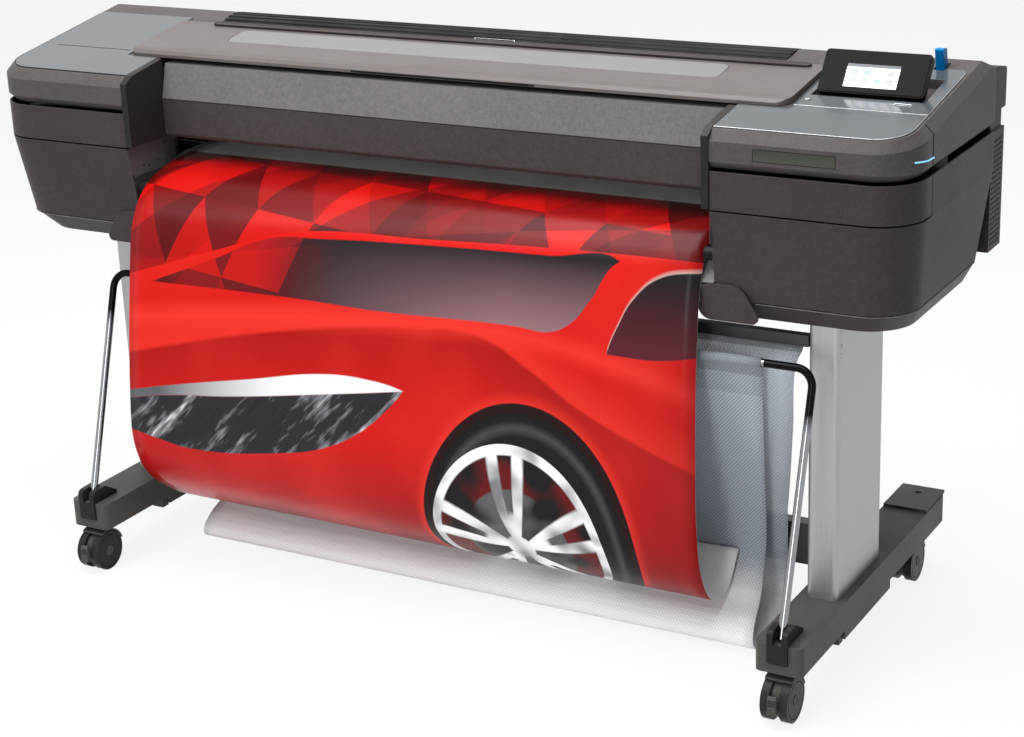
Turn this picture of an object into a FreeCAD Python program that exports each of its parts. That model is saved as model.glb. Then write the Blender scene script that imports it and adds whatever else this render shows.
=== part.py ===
import FreeCAD, Part
import math
import os
import re
import Sketcher
from FreeCAD import Vector

# Large format plotter on a wheeled stand, in millimetres. X runs to the right, Y to the back and
# Z up. The origin is on the floor under the middle of the printer body.

driving = {
    # printer body
    "half_width": 901, "left_inner": -588, "right_inner": 572, "wall": 3, "seam": 1.5,
    "front_face": -222, "corner_radius": 77, "rear_face": 200, "rear_radius": 20,
    "body_bottom": 618, "trim_top": 655, "door_bottom": 806, "door_top": 871.5, "band_bottom": 873,
    "under_inset": 34, "under_front": 58, "taper_inset": 14, "taper_front": 24, "taper_rear": 33,
    "door_rear": -124, "bay_back": -76, "undercut": 13, "shoulder": 15,
    "roof_front": -205, "roof_level": 936, "roof_rise": 0.158, "roof_crest": 150, "cap_rise": 49,
    "right_roof_depth": 18, "cheek": 13, "cheek_front": -224, "cheek_top": 926, "cheek_rear": -116,
    "skirt_front": -207, "skirt_rear": -120, "skirt_inside": 27, "skirt_height": 63, "skirt_shoulder": 48,
    "skirt_toe": 84, "skirt_wall": 4, "fascia_front": -124, "fascia_fold": -108, "fascia_rear": -84,
    "fascia_step": 74,
    # print zone
    "window_front": -74, "window_rear": 75, "window_bottom": 700, "media_width": 1118, "media_middle": -8,
    "media_thickness": 1, "nip_place": 46, "nip_level": 766, "feed_radius": 15, "pinch_radius": 6,
    "roll_place": 136, "roll_radius": 58, "core_radius": 27, "rail_front": 36,
    "rail_rear": 58, "rail_bottom": 835, "rail_top": 905, "plate_place": 860, "plate_thick": 3,
    "beam_front": -60, "beam_rear": 60, "beam_top": 700, "pulley_radius": 9.5, "pulley_place": 836,
    "pinch_pitch": 130, "pinch_length": 70, "cap_pitch": 21, "cap_width": 16,
    "port_pitch": 26, "port_width": 16,
    "carriage_park": 690, "carriage_half": 74, "plate_top": 935,
    # lid, roll cover and display
    "lid_half": 656, "lid_front": -105, "lid_rear": 62, "lid_thick": 10, "cover_radius": 86,
    "pane_left": -492, "pane_right": 500, "pane_near": -30, "pane_far": 34, "pane_radius": 16, "pane_gap": 1,
    "latch_left": -30, "latch_right": 54, "latch_depth": 22, "rib_radius": 2.2, "rib_sink": 0.5,
    "display_width": 176, "display_height": 76, "display_thick": 12,
    "display_left": 678, "display_foot": -40, "display_lean": 38, "tray_depth": 14,
    "tray_margin": 6, "lever_place": 833, "lever_pivot": 112, "power_x": 675, "power_y": -70,
    "button_radius": 4.5, "cartridge_travel": 12,
    # stand
    "stand_middle": 38.4, "stand_half": 703.5, "foot_width": 83, "foot_front": -346, "foot_rear": 347,
    "foot_height": 51, "column_width": 54, "column_front": -160, "column_rear": 48, "column_wall": 3,
    "column_radius": 10,
    "brace_front": 8, "brace_rear": 34, "brace_height": 77, "brace_lift": 26, "rail_depth": 16,
    "rail_height": 19, "rail_drop": 21,
    # casters and basket
    "wheel_radius": 38, "wheel_wide": 15, "wheel_gap": 17, "trail": 28, "swivel_height": 13,
    "front_inset": 48, "rear_inset": 57, "rod_radius": 6.75, "pivot_inset": 19, "pivot_lift": 11.5,
    "pin_radius": 2.5, "rod_stub": 8, "bar_place": -200, "bar_level": 557, "bend_radius": 30,
    "joint_reach": 84, "sleeve_thick": 1.5, "cloth_half": 625,
}

# Sizes worked out from the driving ones.
workedOut = {
    "roof_cap": "roof_level + cap_rise",
    "roll_level": "roof_level - 30",
    "foot_bottom": "2 * wheel_radius + swivel_height",
    "foot_top": "foot_bottom + foot_height",
    "brace_bottom": "foot_bottom + brace_lift",
    "brace_top": "brace_bottom + brace_height",
    "hanger_top": "body_bottom - rail_drop",
    "hanger_bottom": "hanger_top - rail_height",
    "front_stem": "foot_front + front_inset",
    "rear_stem": "foot_rear - rear_inset",
    "pivot_place": "foot_front + pivot_inset",
    "pivot_level": "foot_top + pivot_lift",
}

clearance = 0.3

document = FreeCAD.newDocument("plotter")
sheet = document.addObject("Spreadsheet::Sheet", "sizes")
for row, (name, value) in enumerate(driving.items(), start=1):
    sheet.set(f"A{row}", name)
    sheet.set(f"B{row}", str(value))
    sheet.setAlias(f"B{row}", name)
document.recompute()

subParts = {}


def formula(text):
    """Write out the worked-out sizes and put the sheet's name before each alias."""
    def expand(word):
        name = word.group()
        if name in workedOut:
            return f"({formula(workedOut[name])})"
        return "sizes." + name if name in driving else name
    return re.sub(r"[a-z][a-z_]*", expand, str(text))


def number(text):
    return float(sheet.evalExpression(formula(text)))


def keep(label, piece):
    """Name a finished sub-part."""
    piece.Label = label
    subParts[label] = piece
    return piece


# ---- sketches and bodies ----

def cornerArc(spot, before, after, radius):
    """Tangent points and arc of a rounded corner."""
    back = (before - spot).normalize()
    onward = (after - spot).normalize()
    half = back.getAngle(onward) / 2
    enter = spot + back * (radius / math.tan(half))
    leave = spot + onward * (radius / math.tan(half))
    centre = spot + (back + onward).normalize() * (radius / math.sin(half))
    leftTurn = back.cross(onward).z < 0
    first, last = (enter, leave) if leftTurn else (leave, enter)
    startAngle = math.atan2(first.y - centre.y, first.x - centre.x)
    endAngle = math.atan2(last.y - centre.y, last.x - centre.x)
    if endAngle < startAngle:
        endAngle += 2 * math.pi
    arc = Part.ArcOfCircle(Part.Circle(centre, Vector(0, 0, 1), radius), startAngle, endAngle)
    return enter, leave, arc, leftTurn


def drawOutline(sketch, corners):
    """Closed outline. A corner is (across, up) or (across, up, radius), each of them a formula."""
    count = len(corners)
    spots = [Vector(number(corner[0]), number(corner[1]), 0) for corner in corners]
    enters, leaves, arcs = [], [], []
    for i, corner in enumerate(corners):
        enter = leave = spots[i]
        arc = None
        if len(corner) == 3:
            before, after = spots[i - 1], spots[(i + 1) % count]
            enter, leave, *arc = cornerArc(spots[i], before, after, number(corner[2]))
        enters.append(enter)
        leaves.append(leave)
        arcs.append(arc)
    runs = [Part.LineSegment(leaves[i], enters[(i + 1) % count]) for i in range(count)]
    lines = [sketch.addGeometry(run) for run in runs]
    rules = []
    for i, corner in enumerate(corners):
        before, after = lines[i - 1], lines[i]
        held = after
        if arcs[i]:
            curve, leftTurn = arcs[i]
            arc = sketch.addGeometry(curve)
            held = sketch.addGeometry(Part.Point(spots[i]), True)
            rules.append((Sketcher.Constraint("Tangent", before, 2, arc, 1 if leftTurn else 2), None))
            rules.append((Sketcher.Constraint("Tangent", after, 1, arc, 2 if leftTurn else 1), None))
            rules.append((Sketcher.Constraint("Radius", arc, curve.Radius), corner[2]))
            rules.append((Sketcher.Constraint("PointOnObject", held, 1, before), None))
            rules.append((Sketcher.Constraint("PointOnObject", held, 1, after), None))
        else:
            rules.append((Sketcher.Constraint("Coincident", before, 2, after, 1), None))
        rules.append((Sketcher.Constraint("DistanceX", -1, 1, held, 1, spots[i].x), corner[0]))
        rules.append((Sketcher.Constraint("DistanceY", -1, 1, held, 1, spots[i].y), corner[1]))
    for rule, text in rules:
        index = sketch.addConstraint(rule)
        if text is not None:
            sketch.setExpression(f"Constraints[{index}]", formula(text))


def newBody(label):
    body = document.addObject("PartDesign::Body", label)
    body.Label = label
    return body


def addSketch(body, plane, corners, level):
    """Sketch on a plane of the body's own origin, moved along that plane's normal."""
    sketch = body.newObject("Sketcher::SketchObject", "outline")
    support = [feature for feature in body.Origin.OriginFeatures if feature.Role == plane + "_Plane"]
    sketch.AttachmentSupport = (support[0], [""])
    sketch.MapMode = "FlatFace"
    sketch.setExpression("AttachmentOffset.Base.z", formula(level))
    drawOutline(sketch, corners)
    return sketch


def addPad(body, plane, corners, low, high):
    pad = body.newObject("PartDesign::Pad", "pad")
    pad.Profile = addSketch(body, plane, corners, low)
    pad.setExpression("Length", formula(f"({high}) - ({low})"))
    body.Tip = pad
    return pad


def prism(label, plane, corners, low, high):
    body = newBody(label)
    addPad(body, plane, corners, low, high)
    return body


def addPocket(body, plane, corners):
    """Cut an outline right through the body, both ways from its plane."""
    pocket = body.newObject("PartDesign::Pocket", "pocket")
    pocket.Profile = addSketch(body, plane, corners, 0)
    pocket.Type = "ThroughAll"
    pocket.Midplane = True
    body.Tip = pocket
    return pocket


def addLoft(body, kind, sections):
    """Ruled loft through level outlines; a section is (level, corners)."""
    loft = body.newObject("PartDesign::" + kind, kind)
    sketches = [addSketch(body, "XY", corners, level) for level, corners in sections]
    loft.Profile = sketches[0]
    loft.Sections = sketches[1:]
    loft.Ruled = True
    body.Tip = loft
    return loft


def dress(body, kind, size, wanted):
    """Fillet or Chamfer on every edge that wanted() picks."""
    document.recompute()
    base = body.Tip
    names = [f"Edge{i}" for i, edge in enumerate(base.Shape.Edges, start=1) if wanted(edge)]
    feature = body.newObject("PartDesign::" + kind, kind)
    feature.Base = (base, names)
    feature.setExpression("Radius" if kind == "Fillet" else "Size", formula(size))
    body.Tip = feature
    return feature


# ---- primitives and booleans ----

def block(label, x, y, z):
    """Box from (low, high) pairs of formulas."""
    box = document.addObject("Part::Box", label)
    for side, axis, (low, high) in zip(("Length", "Width", "Height"), "xyz", (x, y, z)):
        box.setExpression(side, formula(f"({high}) - ({low})"))
        box.setExpression("Placement.Base." + axis, formula(low))
    return box


turns = {
    "x": FreeCAD.Rotation(Vector(0, 1, 0), 90),
    "y": FreeCAD.Rotation(Vector(1, 0, 0), -90),
    "z": FreeCAD.Rotation(),
}


def rod(label, axis, place, radius, length):
    """Cylinder from a place along +X, +Y or +Z."""
    cylinder = document.addObject("Part::Cylinder", label)
    cylinder.Placement = FreeCAD.Placement(Vector(), turns[axis])
    cylinder.setExpression("Radius", formula(radius))
    cylinder.setExpression("Height", formula(length))
    for name, value in zip("xyz", place):
        cylinder.setExpression("Placement.Base." + name, formula(value))
    return cylinder


def fuse(label, pieces):
    whole = document.addObject("Part::MultiFuse", label)
    whole.Shapes = pieces
    return whole


def group(label, pieces):
    """Separate solids kept in one sub-part."""
    whole = document.addObject("Part::Compound", label)
    whole.Links = pieces
    return whole


def cut(label, base, tools):
    """One piece less one or more others."""
    result = document.addObject("Part::Cut", label)
    result.Base = base
    result.Tool = tools[0] if len(tools) == 1 else fuse(label + "_tools", tools)
    return result


def common(label, first, second):
    result = document.addObject("Part::Common", label)
    result.Base = first
    result.Tool = second
    return result


def tube(label, axis, place, outer, inner, length):
    return cut(label, rod(label + "_outer", axis, place, outer, length),
               [rod(label + "_inner", axis, place, inner, length)])


# ---- heights and outlines shared by several pieces ----

def roof(place, lift=0):
    """Height of the sloping roof at a place in Y."""
    return f"roof_level + roof_rise * (({place}) - roof_front) + ({lift})"


def nearLevel(edge, text):
    """Is the whole edge at this height?"""
    level = number(text)
    return all(abs(spot.Point.z - level) < 0.01 for spot in edge.Vertexes)


def plan(sign, inset=0, front="front_face", rear="rear_face", radius="corner_radius", inner=None):
    """Outline of one housing seen from above; sign is -1 on the left and 1 on the right."""
    outer = f"{sign} * (half_width - ({inset}))"
    inner = inner or ("left_inner" if sign < 0 else "right_inner")
    return [(inner, front), (outer, front, radius), (outer, rear, "rear_radius"), (inner, rear)]


def sideName(sign):
    return "left" if sign < 0 else "right"


def span(sign, near, far):
    """Low and high X of a stretch of a housing, given as distances from the body's middle."""
    return (f"-({far})", f"-({near})") if sign < 0 else (near, far)


# ---- printer housings ----

def lowerCover(sign):
    """Tapering bottom shell of one housing, with the shelf that the ink cartridges stand on."""
    name = sideName(sign)
    inner = "-left_inner" if sign < 0 else "right_inner"
    shelf = "door_bottom - seam"
    outside = [
        ("body_bottom", plan(sign, "under_inset", "front_face + under_front", "rear_face - taper_rear")),
        ("trim_top", plan(sign, "taper_inset", "front_face + taper_front", "rear_face - taper_rear")),
        (shelf, plan(sign)),
        ("door_top - seam", plan(sign)),
    ]
    inside = []
    for level, extra in (("body_bottom + wall", "under"), ("trim_top", "taper"), (shelf + " - wall", None)):
        inset = f"{extra}_inset + wall" if extra else "wall"
        front = f"front_face + {extra}_front + wall" if extra else "front_face + wall"
        rear = "rear_face - taper_rear - wall" if extra else "rear_face - wall"
        near = ("left_inner - wall" if sign < 0 else "right_inner + wall")
        inside.append((level, plan(sign, inset, front, rear, "corner_radius - wall", near)))
    body = newBody(name + "_lower_shell")
    addLoft(body, "AdditiveLoft", outside)
    addLoft(body, "SubtractiveLoft", inside)
    inward = span(sign, f"{inner} + wall", "half_width - wall")
    across = span(sign, f"{inner} - 40", "half_width + 20")
    through = span(sign, f"{inner} - 1", f"{inner} + wall + 1")
    tools = [
        block(name + "_bay", inward, ("front_face - 10", "bay_back"), (shelf, "door_top + 1")),
        block(name + "_door_place", across, ("front_face - 10", "door_rear + 2.5"), (shelf, "door_top + 1")),
        block(name + "_rear_hollow", inward, ("bay_back + wall", "rear_face - wall"),
              (shelf + " - wall - 1", "door_top + 1")),
        block(name + "_side_window", through, ("window_front", "window_rear"),
              ("beam_top", "door_top + 1")),
        block(name + "_beam_hole", through, (f"beam_front - {clearance}", f"beam_rear + {clearance}"),
              ("body_bottom + wall", "beam_top")),
    ]
    shell = cut(name + "_open_shell", body, tools)
    skirt = prism(name + "_skirt", "XZ", [
        (f"{sign} * ({inner} - skirt_inside)", "body_bottom + wall", 22),
        (f"{sign} * ({inner} - skirt_inside)", "body_bottom + skirt_height", 20),
        (f"{sign} * ({inner} + skirt_shoulder)", "body_bottom + skirt_height", 35),
        (f"{sign} * ({inner} + skirt_toe)", "body_bottom + wall", 10)], "-skirt_rear", "-skirt_front")
    outer = cut(name + "_skirt_rim", skirt, [
        block(name + "_skirt_hollow",
              span(sign, f"{inner} - skirt_inside + skirt_wall", f"{inner} + skirt_toe + 10"),
              ("skirt_front + skirt_wall", "skirt_rear + 10"),
              ("body_bottom - 10", "body_bottom + skirt_height - skirt_wall"))])
    keep(name + "_lower_cover", fuse(name + "_lower_cover", [shell, outer]))


def topCover(sign):
    """Upper tier of one housing, with its sloping roof and the bevels round it."""
    name = sideName(sign)
    inner = "-left_inner" if sign < 0 else "right_inner"
    depth = "wall" if sign < 0 else "right_roof_depth"
    body = prism(name + "_tier", "XY", plan(sign), "band_bottom", "roof_cap + 30")
    addPocket(body, "YZ", [
        ("front_face - 50", roof("front_face - 50")), ("roof_crest", roof("roof_crest")),
        ("rear_face - 12", "roof_cap - 16"), ("rear_face", "roof_cap - 60"),
        ("rear_face + 50", "roof_cap - 60"), ("rear_face + 50", "roof_cap + 90"),
        ("front_face - 50", "roof_cap + 90")])
    limit = number(inner) + 1
    dress(body, "Chamfer", "undercut",
          lambda edge: nearLevel(edge, "band_bottom") and edge.CenterOfMass.y < 0
          and abs(edge.CenterOfMass.x) > limit)
    crest = number("roof_crest") - 1

    def roofRim(edge):
        middle = edge.CenterOfMass
        ends = [spot.Point for spot in edge.Vertexes]
        onRoof = all(abs(end.z - number(roof(end.y))) < 0.01 for end in ends)
        return onRoof and middle.y < crest and abs(middle.x) > limit
    dress(body, "Chamfer", "shoulder", roofRim)
    sides = span(sign, f"{inner} + wall", "half_width - wall")
    hollow = common(
        name + "_tier_hollow",
        prism(name + "_hollow_side", "YZ", [
            ("front_face + wall + shoulder", "band_bottom - 1"),
            ("front_face + wall + shoulder", roof("front_face + shoulder", f"-({depth}) - wall")),
            ("roof_crest - 10", roof("roof_crest - 10", f"-({depth})")),
            ("rear_face - wall - 14", "roof_cap - 24"), ("rear_face - wall", "roof_cap - 70"),
            ("rear_face - wall", "band_bottom - 1")], *sides),
        prism(name + "_hollow_plan", "XY", plan(
            sign, "wall + shoulder", "front_face + wall + shoulder", "rear_face - wall",
            "corner_radius - shoulder", "left_inner - wall" if sign < 0 else "right_inner + wall"),
            "band_bottom - 2", "roof_cap + 5"))
    tools = [hollow, block(name + "_tier_window", span(sign, f"{inner} - 1", f"{inner} + wall + 1"),
                           ("window_front", "window_rear"), ("band_bottom - 1", "rail_top + 26"))]
    if sign > 0:
        tools.append(displayRecess("right_tier_recess"))
        well = ("power_x", "power_y", roof("power_y", -6))
        tools.append(rod("button_well", "z", well, "button_radius + 0.5", 40))
        tools.append(leverSlot("lever_well"))
    keep(name + "_top_cover", cut(name + "_top_cover", body, tools))


def displayRecess(label):
    """Sloping tray that the display folds down into."""
    near, far = "display_foot - 9", "display_foot + display_height + 16"
    return prism(label, "YZ", [
        (near, roof(near, "-tray_depth")), (far, roof(far, "-tray_depth")),
        (far, roof(far, 9)), (near, roof(near, 9))],
        "display_left - tray_margin", "display_left + display_width + tray_margin")


def leverSlot(label):
    return block(label, ("lever_place - 10", "lever_place + 10"), ("lever_pivot - 20", "lever_pivot + 20"),
                 (roof("lever_pivot", -16), "roof_cap + 40"))


def topPanels():
    """Glossy plates on the two housings, notched for the lid that overlaps them."""
    plates = []
    for sign in (-1, 1):
        name = sideName(sign)
        inner = "-left_inner" if sign < 0 else "right_inner"
        sheetOfRoof = prism(name + "_roof_slice", "YZ", [
            ("front_face", roof("front_face", 0)), ("roof_crest", roof("roof_crest", 0)),
            ("roof_crest", roof("roof_crest", 2)), ("front_face", roof("front_face", 2))],
            *span(sign, inner, "half_width"))
        outline = prism(name + "_panel_plan", "XY", [
            (f"{sign} * ({inner} + 1)", "roof_front + 1"),
            (f"{sign} * (half_width - shoulder - 5)", "roof_front + 1", "corner_radius - shoulder - 6"),
            (f"{sign} * (half_width - shoulder - 5)", "roof_crest - 52", 12),
            (f"{sign} * (lid_half + 4)", "roof_crest - 52"),
            (f"{sign} * (lid_half + 4)", "lid_front - 4"),
            (f"{sign} * ({inner} + 1)", "lid_front - 4")], "roof_level - 40", "roof_cap + 20")
        plate = common(name + "_panel", sheetOfRoof, outline)
        if sign > 0:
            hole = ("power_x", "power_y", roof("power_y", -20))
            plate = cut("right_panel_open", plate, [
                displayRecess("panel_recess"), leverSlot("panel_slot"),
                rod("button_hole", "z", hole, "button_radius + 0.5", 40)])
        plates.append(plate)
    keep("top_panels", group("top_panels", plates))


def inkDoor(sign):
    """Door over one row of cartridges; it wraps round the corner to a hinge on the side."""
    name = sideName(sign)
    inner = "-left_inner + 1" if sign < 0 else "right_inner + 1"
    edge = f"{sign} * ({inner})"
    outer = f"{sign} * half_width"
    lining = f"{sign} * (half_width - wall)"
    panel = prism(name + "_door_panel", "XY", [
        (edge, "front_face"), (outer, "front_face", "corner_radius"), (outer, "door_rear"),
        (lining, "door_rear"), (lining, "front_face + wall", "corner_radius - wall"),
        (edge, "front_face + wall")], "door_bottom + seam", "door_top - seam")
    pin = rod(name + "_door_pin", "z", (f"{sign} * (half_width - wall / 2)", "door_rear - wall / 2",
                                        f"door_bottom - seam + {clearance}"), "wall / 2 - 0.1", 20)
    keep(name + "_ink_door", fuse(name + "_ink_door", [panel, pin]))


def cheekBars():
    """Upright cheeks beside the print slot; they stand a little proud of the housings."""
    bars = []
    for sign in (-1, 1):
        inner = "-left_inner" if sign < 0 else "right_inner"
        bars.append(prism(sideName(sign) + "_cheek", "YZ", [
            ("cheek_front", "cheek_top"), ("cheek_front", "door_bottom + wall"),
            ("cheek_rear", "door_bottom + wall"), ("cheek_rear", roof("cheek_rear", 2)),
            ("roof_front", "roof_level + 2")], *span(sign, f"{inner} - cheek", inner)))
    keep("cheek_bars", group("cheek_bars", bars))


def frontFascia():
    """Two-facet cover between the cheeks, with the pale strip along its lower edge."""
    keep("front_fascia", prism("front_fascia", "YZ", [
        ("fascia_front + 6", "door_bottom + 2"), ("fascia_front", "door_bottom + 9"),
        ("fascia_front", "door_bottom + fascia_step"), ("fascia_fold", "roof_level + 6"),
        ("fascia_rear", "roof_level + 9"), ("fascia_rear", "roof_level + 6"),
        ("fascia_fold + wall", "roof_level + 6 - wall"),
        ("fascia_front + wall", "door_bottom + fascia_step - 1"),
        ("fascia_front + wall", "door_bottom + 11"), ("fascia_front + 12", "door_bottom + 2 + wall"),
        ("fascia_rear - 6", "door_bottom + 2 + wall"), ("fascia_rear - 6", "door_bottom + 2")],
        "left_inner + cheek + 0.5", "right_inner - cheek - 0.5"))


def rearPanel():
    """Rear wall and cradle floor behind the roll, and the bar under the lid's hinge."""
    wallAndFloor = prism("rear_wall", "YZ", [
        ("rear_face - wall", "trim_top"), ("rear_face", "trim_top"), ("rear_face", "roof_cap - 101"),
        ("rear_face - wall", "roof_cap - 101"), ("rear_face - wall", "roof_level - 98"),
        ("roll_place - 36", "roof_level - 98"), ("roll_place - 36", "roof_level - 101"),
        ("rear_face - wall", "roof_level - 101")], "left_inner + 0.5", "right_inner - 0.5")
    bar = block("hinge_bar", ("left_inner + 0.5", "right_inner - 0.5"), ("lid_rear + 4", "lid_rear + 13"),
                (roof("lid_rear", -22), roof("lid_rear", -1)))
    keep("rear_panel", group("rear_panel", [wallAndFloor, bar]))


def electronicsBox():
    """Rear box with the boards and the power inlet; its lower half is a grille."""
    lower = block("box_lower", ("half_width - 262", "half_width - 8"), ("rear_face", "rear_face + 66"),
                  ("trim_top + 1", "door_top - 10"))
    upper = prism("box_upper", "YZ", [
        ("rear_face", "band_bottom + 21"), ("rear_face + 70", "band_bottom + 21"),
        ("rear_face + 70", "roof_cap - 24", 8), ("rear_face + 14", "roof_cap - 14", 8),
        ("rear_face", "roof_cap - 62")], "half_width - 262", "half_width - 8")
    neck = block("box_neck", ("half_width - 258", "half_width - 12"), ("rear_face", "rear_face + 60"),
                 ("door_top - 10", "band_bottom + 21"))
    inlet = block("inlet", ("half_width - 232", "half_width - 204"), ("rear_face + 44", "rear_face + 67"),
                  ("trim_top + 40", "trim_top + 60"))
    ports = []
    for i in range(3):
        start = f"half_width - 150 + {i} * port_pitch"
        ports.append(block(f"port_{i}", (start, f"{start} + port_width"),
                           ("rear_face + 50", "rear_face + 67"), ("trim_top + 40", "trim_top + 54")))
    hollow = block("box_hollow", ("half_width - 259", "half_width - 11"), ("rear_face + 3", "rear_face + 40"),
                   ("trim_top + 4", "door_top - 13"))
    keep("electronics_box", cut("electronics_box", fuse("box_whole", [lower, upper, neck]),
                                [inlet, hollow] + ports))


# ---- chassis and print zone ----

def baseBeam():
    """Hollow steel beam under the print zone; the columns carry it."""
    reach = "plate_place - plate_thick"
    outside = block("beam_outside", (f"-({reach})", reach), ("beam_front", "beam_rear"),
                    ("body_bottom + wall", "beam_top"))
    inside = block("beam_inside", (f"-({reach})", reach), ("beam_front + 2", "beam_rear - 2"),
                   ("body_bottom + wall + 2", "beam_top - 2"))
    keep("base_beam", cut("base_beam", outside, [inside]))


def sidePlates():
    """Steel end plates that join the beam to the carriage rail."""
    plates = [prism(sideName(sign) + "_end_plate", "YZ", [
        ("beam_front", "body_bottom + wall + 30", 12), ("beam_rear", "body_bottom + wall + 30", 12),
        ("window_rear - 3", "beam_top + 60", 12), ("window_rear - 3", "plate_top", 12),
        ("rail_front - 30", "plate_top", 12), ("beam_front", "beam_top + 60", 12)],
        *span(sign, "plate_place - plate_thick", "plate_place")) for sign in (-1, 1)]
    keep("side_plates", group("side_plates", plates))


def carriageRail():
    """Extruded guide that the carriage runs on."""
    reach = "plate_place - plate_thick"
    keep("carriage_rail", prism("carriage_rail", "YZ", [
        ("rail_front", "rail_bottom"), ("rail_rear", "rail_bottom"), ("rail_rear", "rail_top"),
        ("rail_front", "rail_top"), ("rail_front", "rail_top - 14"), ("rail_front + 6", "rail_top - 14"),
        ("rail_front + 6", "rail_bottom + 14"), ("rail_front", "rail_bottom + 14")],
        f"-({reach})", reach))


def carriage():
    """Print head carriage, parked over the service station, with six heads below it."""
    left = "carriage_park - carriage_half"
    right = "carriage_park + carriage_half"
    body = prism("carriage", "YZ", [
        ("-60", "nip_level + 14"), (f"rail_front - {clearance}", "nip_level + 14"),
        (f"rail_front - {clearance}", "rail_top + 10"),
        ("rail_front - 12", "rail_top + 20"), ("-40", "rail_top + 20", 14), ("-60", "rail_top - 30", 14)],
        left, right)
    keep("carriage", body)
    pitch = "(2 * carriage_half - 24) / 6"
    heads = []
    for i in range(6):
        across = (f"{left} + 12 + {i} * {pitch} + 2", f"{left} + 12 + {i + 1} * {pitch} - 2")
        heads.append(block(f"head_{i}", across, ("-44", "18"), ("nip_level + 4", "nip_level + 14")))
    keep("print_heads", group("print_heads", heads))


def beltDrive():
    """Toothed belt loop on two pulleys; the motor stands on the right one."""
    level = "rail_top + 3"
    middle = "(rail_front + rail_rear) / 2"
    loops = []
    for label, grow, low, high in (("belt_outer", 1.2, level, "rail_top + 9"),
                                   ("belt_inner", 0, "rail_top + 2", "rail_top + 10")):
        radius = f"pulley_radius + {clearance} + {grow}"
        loops.append(fuse(label, [
            block(label + "_run", ("-pulley_place", "pulley_place"),
                  (f"{middle} - ({radius})", f"{middle} + ({radius})"), (low, high)),
            rod(label + "_left", "z", ("-pulley_place", middle, low), radius, f"({high}) - ({low})"),
            rod(label + "_right", "z", ("pulley_place", middle, low), radius, f"({high}) - ({low})")]))
    keep("drive_belt", cut("drive_belt", loops[0], [loops[1]]))
    for name, place in (("idler_pulley", "-pulley_place"), ("motor_pulley", "pulley_place")):
        wheel = rod(name + "_wheel", "z", (place, middle, "rail_top + 2.5"), "pulley_radius", 7)
        hub = rod(name + "_hub", "z", (place, middle, f"rail_top + {clearance}"), 4, 12)
        keep(name, fuse(name, [wheel, hub]))
    motor = rod("motor_can", "z", ("pulley_place - 6", middle, "rail_top + 15"), 20, 30)
    flange = block("motor_flange", ("pulley_place - 28", "plate_place - plate_thick"),
                   (f"{middle} - 20", f"{middle} + 20"), (f"rail_top + 12 + {clearance}", "rail_top + 15"))
    keep("scan_motor", fuse("scan_motor", [motor, flange]))


def paperRollers():
    """Driven roller below the paper and the spring-loaded row of pinch rollers above it."""
    reach = f"plate_place - plate_thick - {clearance}"
    feedLevel = "nip_level - feed_radius"
    shaft = rod("feed_shaft", "x", (f"-({reach})", "nip_place", feedLevel), 5, f"2 * ({reach})")
    sleeve = rod("feed_sleeve", "x", ("left_inner + 8", "nip_place", feedLevel), "feed_radius",
                 "right_inner - left_inner - 16")
    keep("feed_roller", fuse("feed_roller", [shaft, sleeve]))
    level = f"nip_level + media_thickness + 3 * {clearance} + pinch_radius"
    start = ("left_inner + 12", "nip_place", level)
    axle = rod("pinch_axle", "x", start, 2, "right_inner - left_inner - 24")
    rollers = []
    for i in range(8):
        place = (f"left_inner + 60 + {i} * pinch_pitch", "nip_place", level)
        rollers.append(rod(f"pinch_{i}", "x", place, "pinch_radius", "pinch_length"))
    keep("pinch_rollers", fuse("pinch_rollers", [axle] + rollers))


def outputGuide():
    """Platen and the curved apron that the print slides down."""
    keep("output_guide", prism("output_guide", "YZ", [
        ("nip_place - feed_radius - 3", "nip_level - 4"),
        ("nip_place - feed_radius - 3", "nip_level - 0.6"),
        ("-62", "nip_level - 0.6", 60), ("-150", "nip_level - 28", 80), ("-206", "nip_level - 84"),
        ("beam_front - 20", "nip_level - 84"), ("beam_front - 20", "nip_level - 80"),
        ("-198", "nip_level - 80"), ("-148", "nip_level - 32", 76),
        ("-61", "nip_level - 4", 56)], "left_inner + 0.5", "right_inner - 0.5"))


def mediaRoll():
    """Roll of paper on its spindle."""
    half = "media_width / 2"
    start = (f"media_middle - {half}", "roll_place", "roll_level")
    keep("media_roll", tube("media_roll", "x", start, "roll_radius", "core_radius", "media_width"))
    left = ("left_inner + 0.5", "roll_place", "roll_level")
    shaft = rod("spindle_shaft", "x", left, f"core_radius - {clearance}", "right_inner - left_inner - 1")
    beside = (f"media_middle - {half} - 0.5 - 10", "roll_place", "roll_level")
    hub = rod("spindle_hub", "x", beside, "roll_radius - 8", 10)
    keep("spindle", fuse("spindle", [shaft, hub]))


def serviceStation():
    """Capping and wiping station under the parked carriage."""
    left = "carriage_park - carriage_half"
    base = block("station_base", (f"{left} - 10", "carriage_park + carriage_half + 10"),
                 ("-56", "24"), ("beam_top", "nip_level - 12"))
    caps = []
    for i in range(6):
        start = f"{left} + 13 + {i} * cap_pitch"
        caps.append(block(f"cap_{i}", (start, f"{start} + cap_width"),
                          ("-42", "14"), ("nip_level - 12", "nip_level + 2")))
    keep("service_station", fuse("service_station", [base] + caps))


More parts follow.
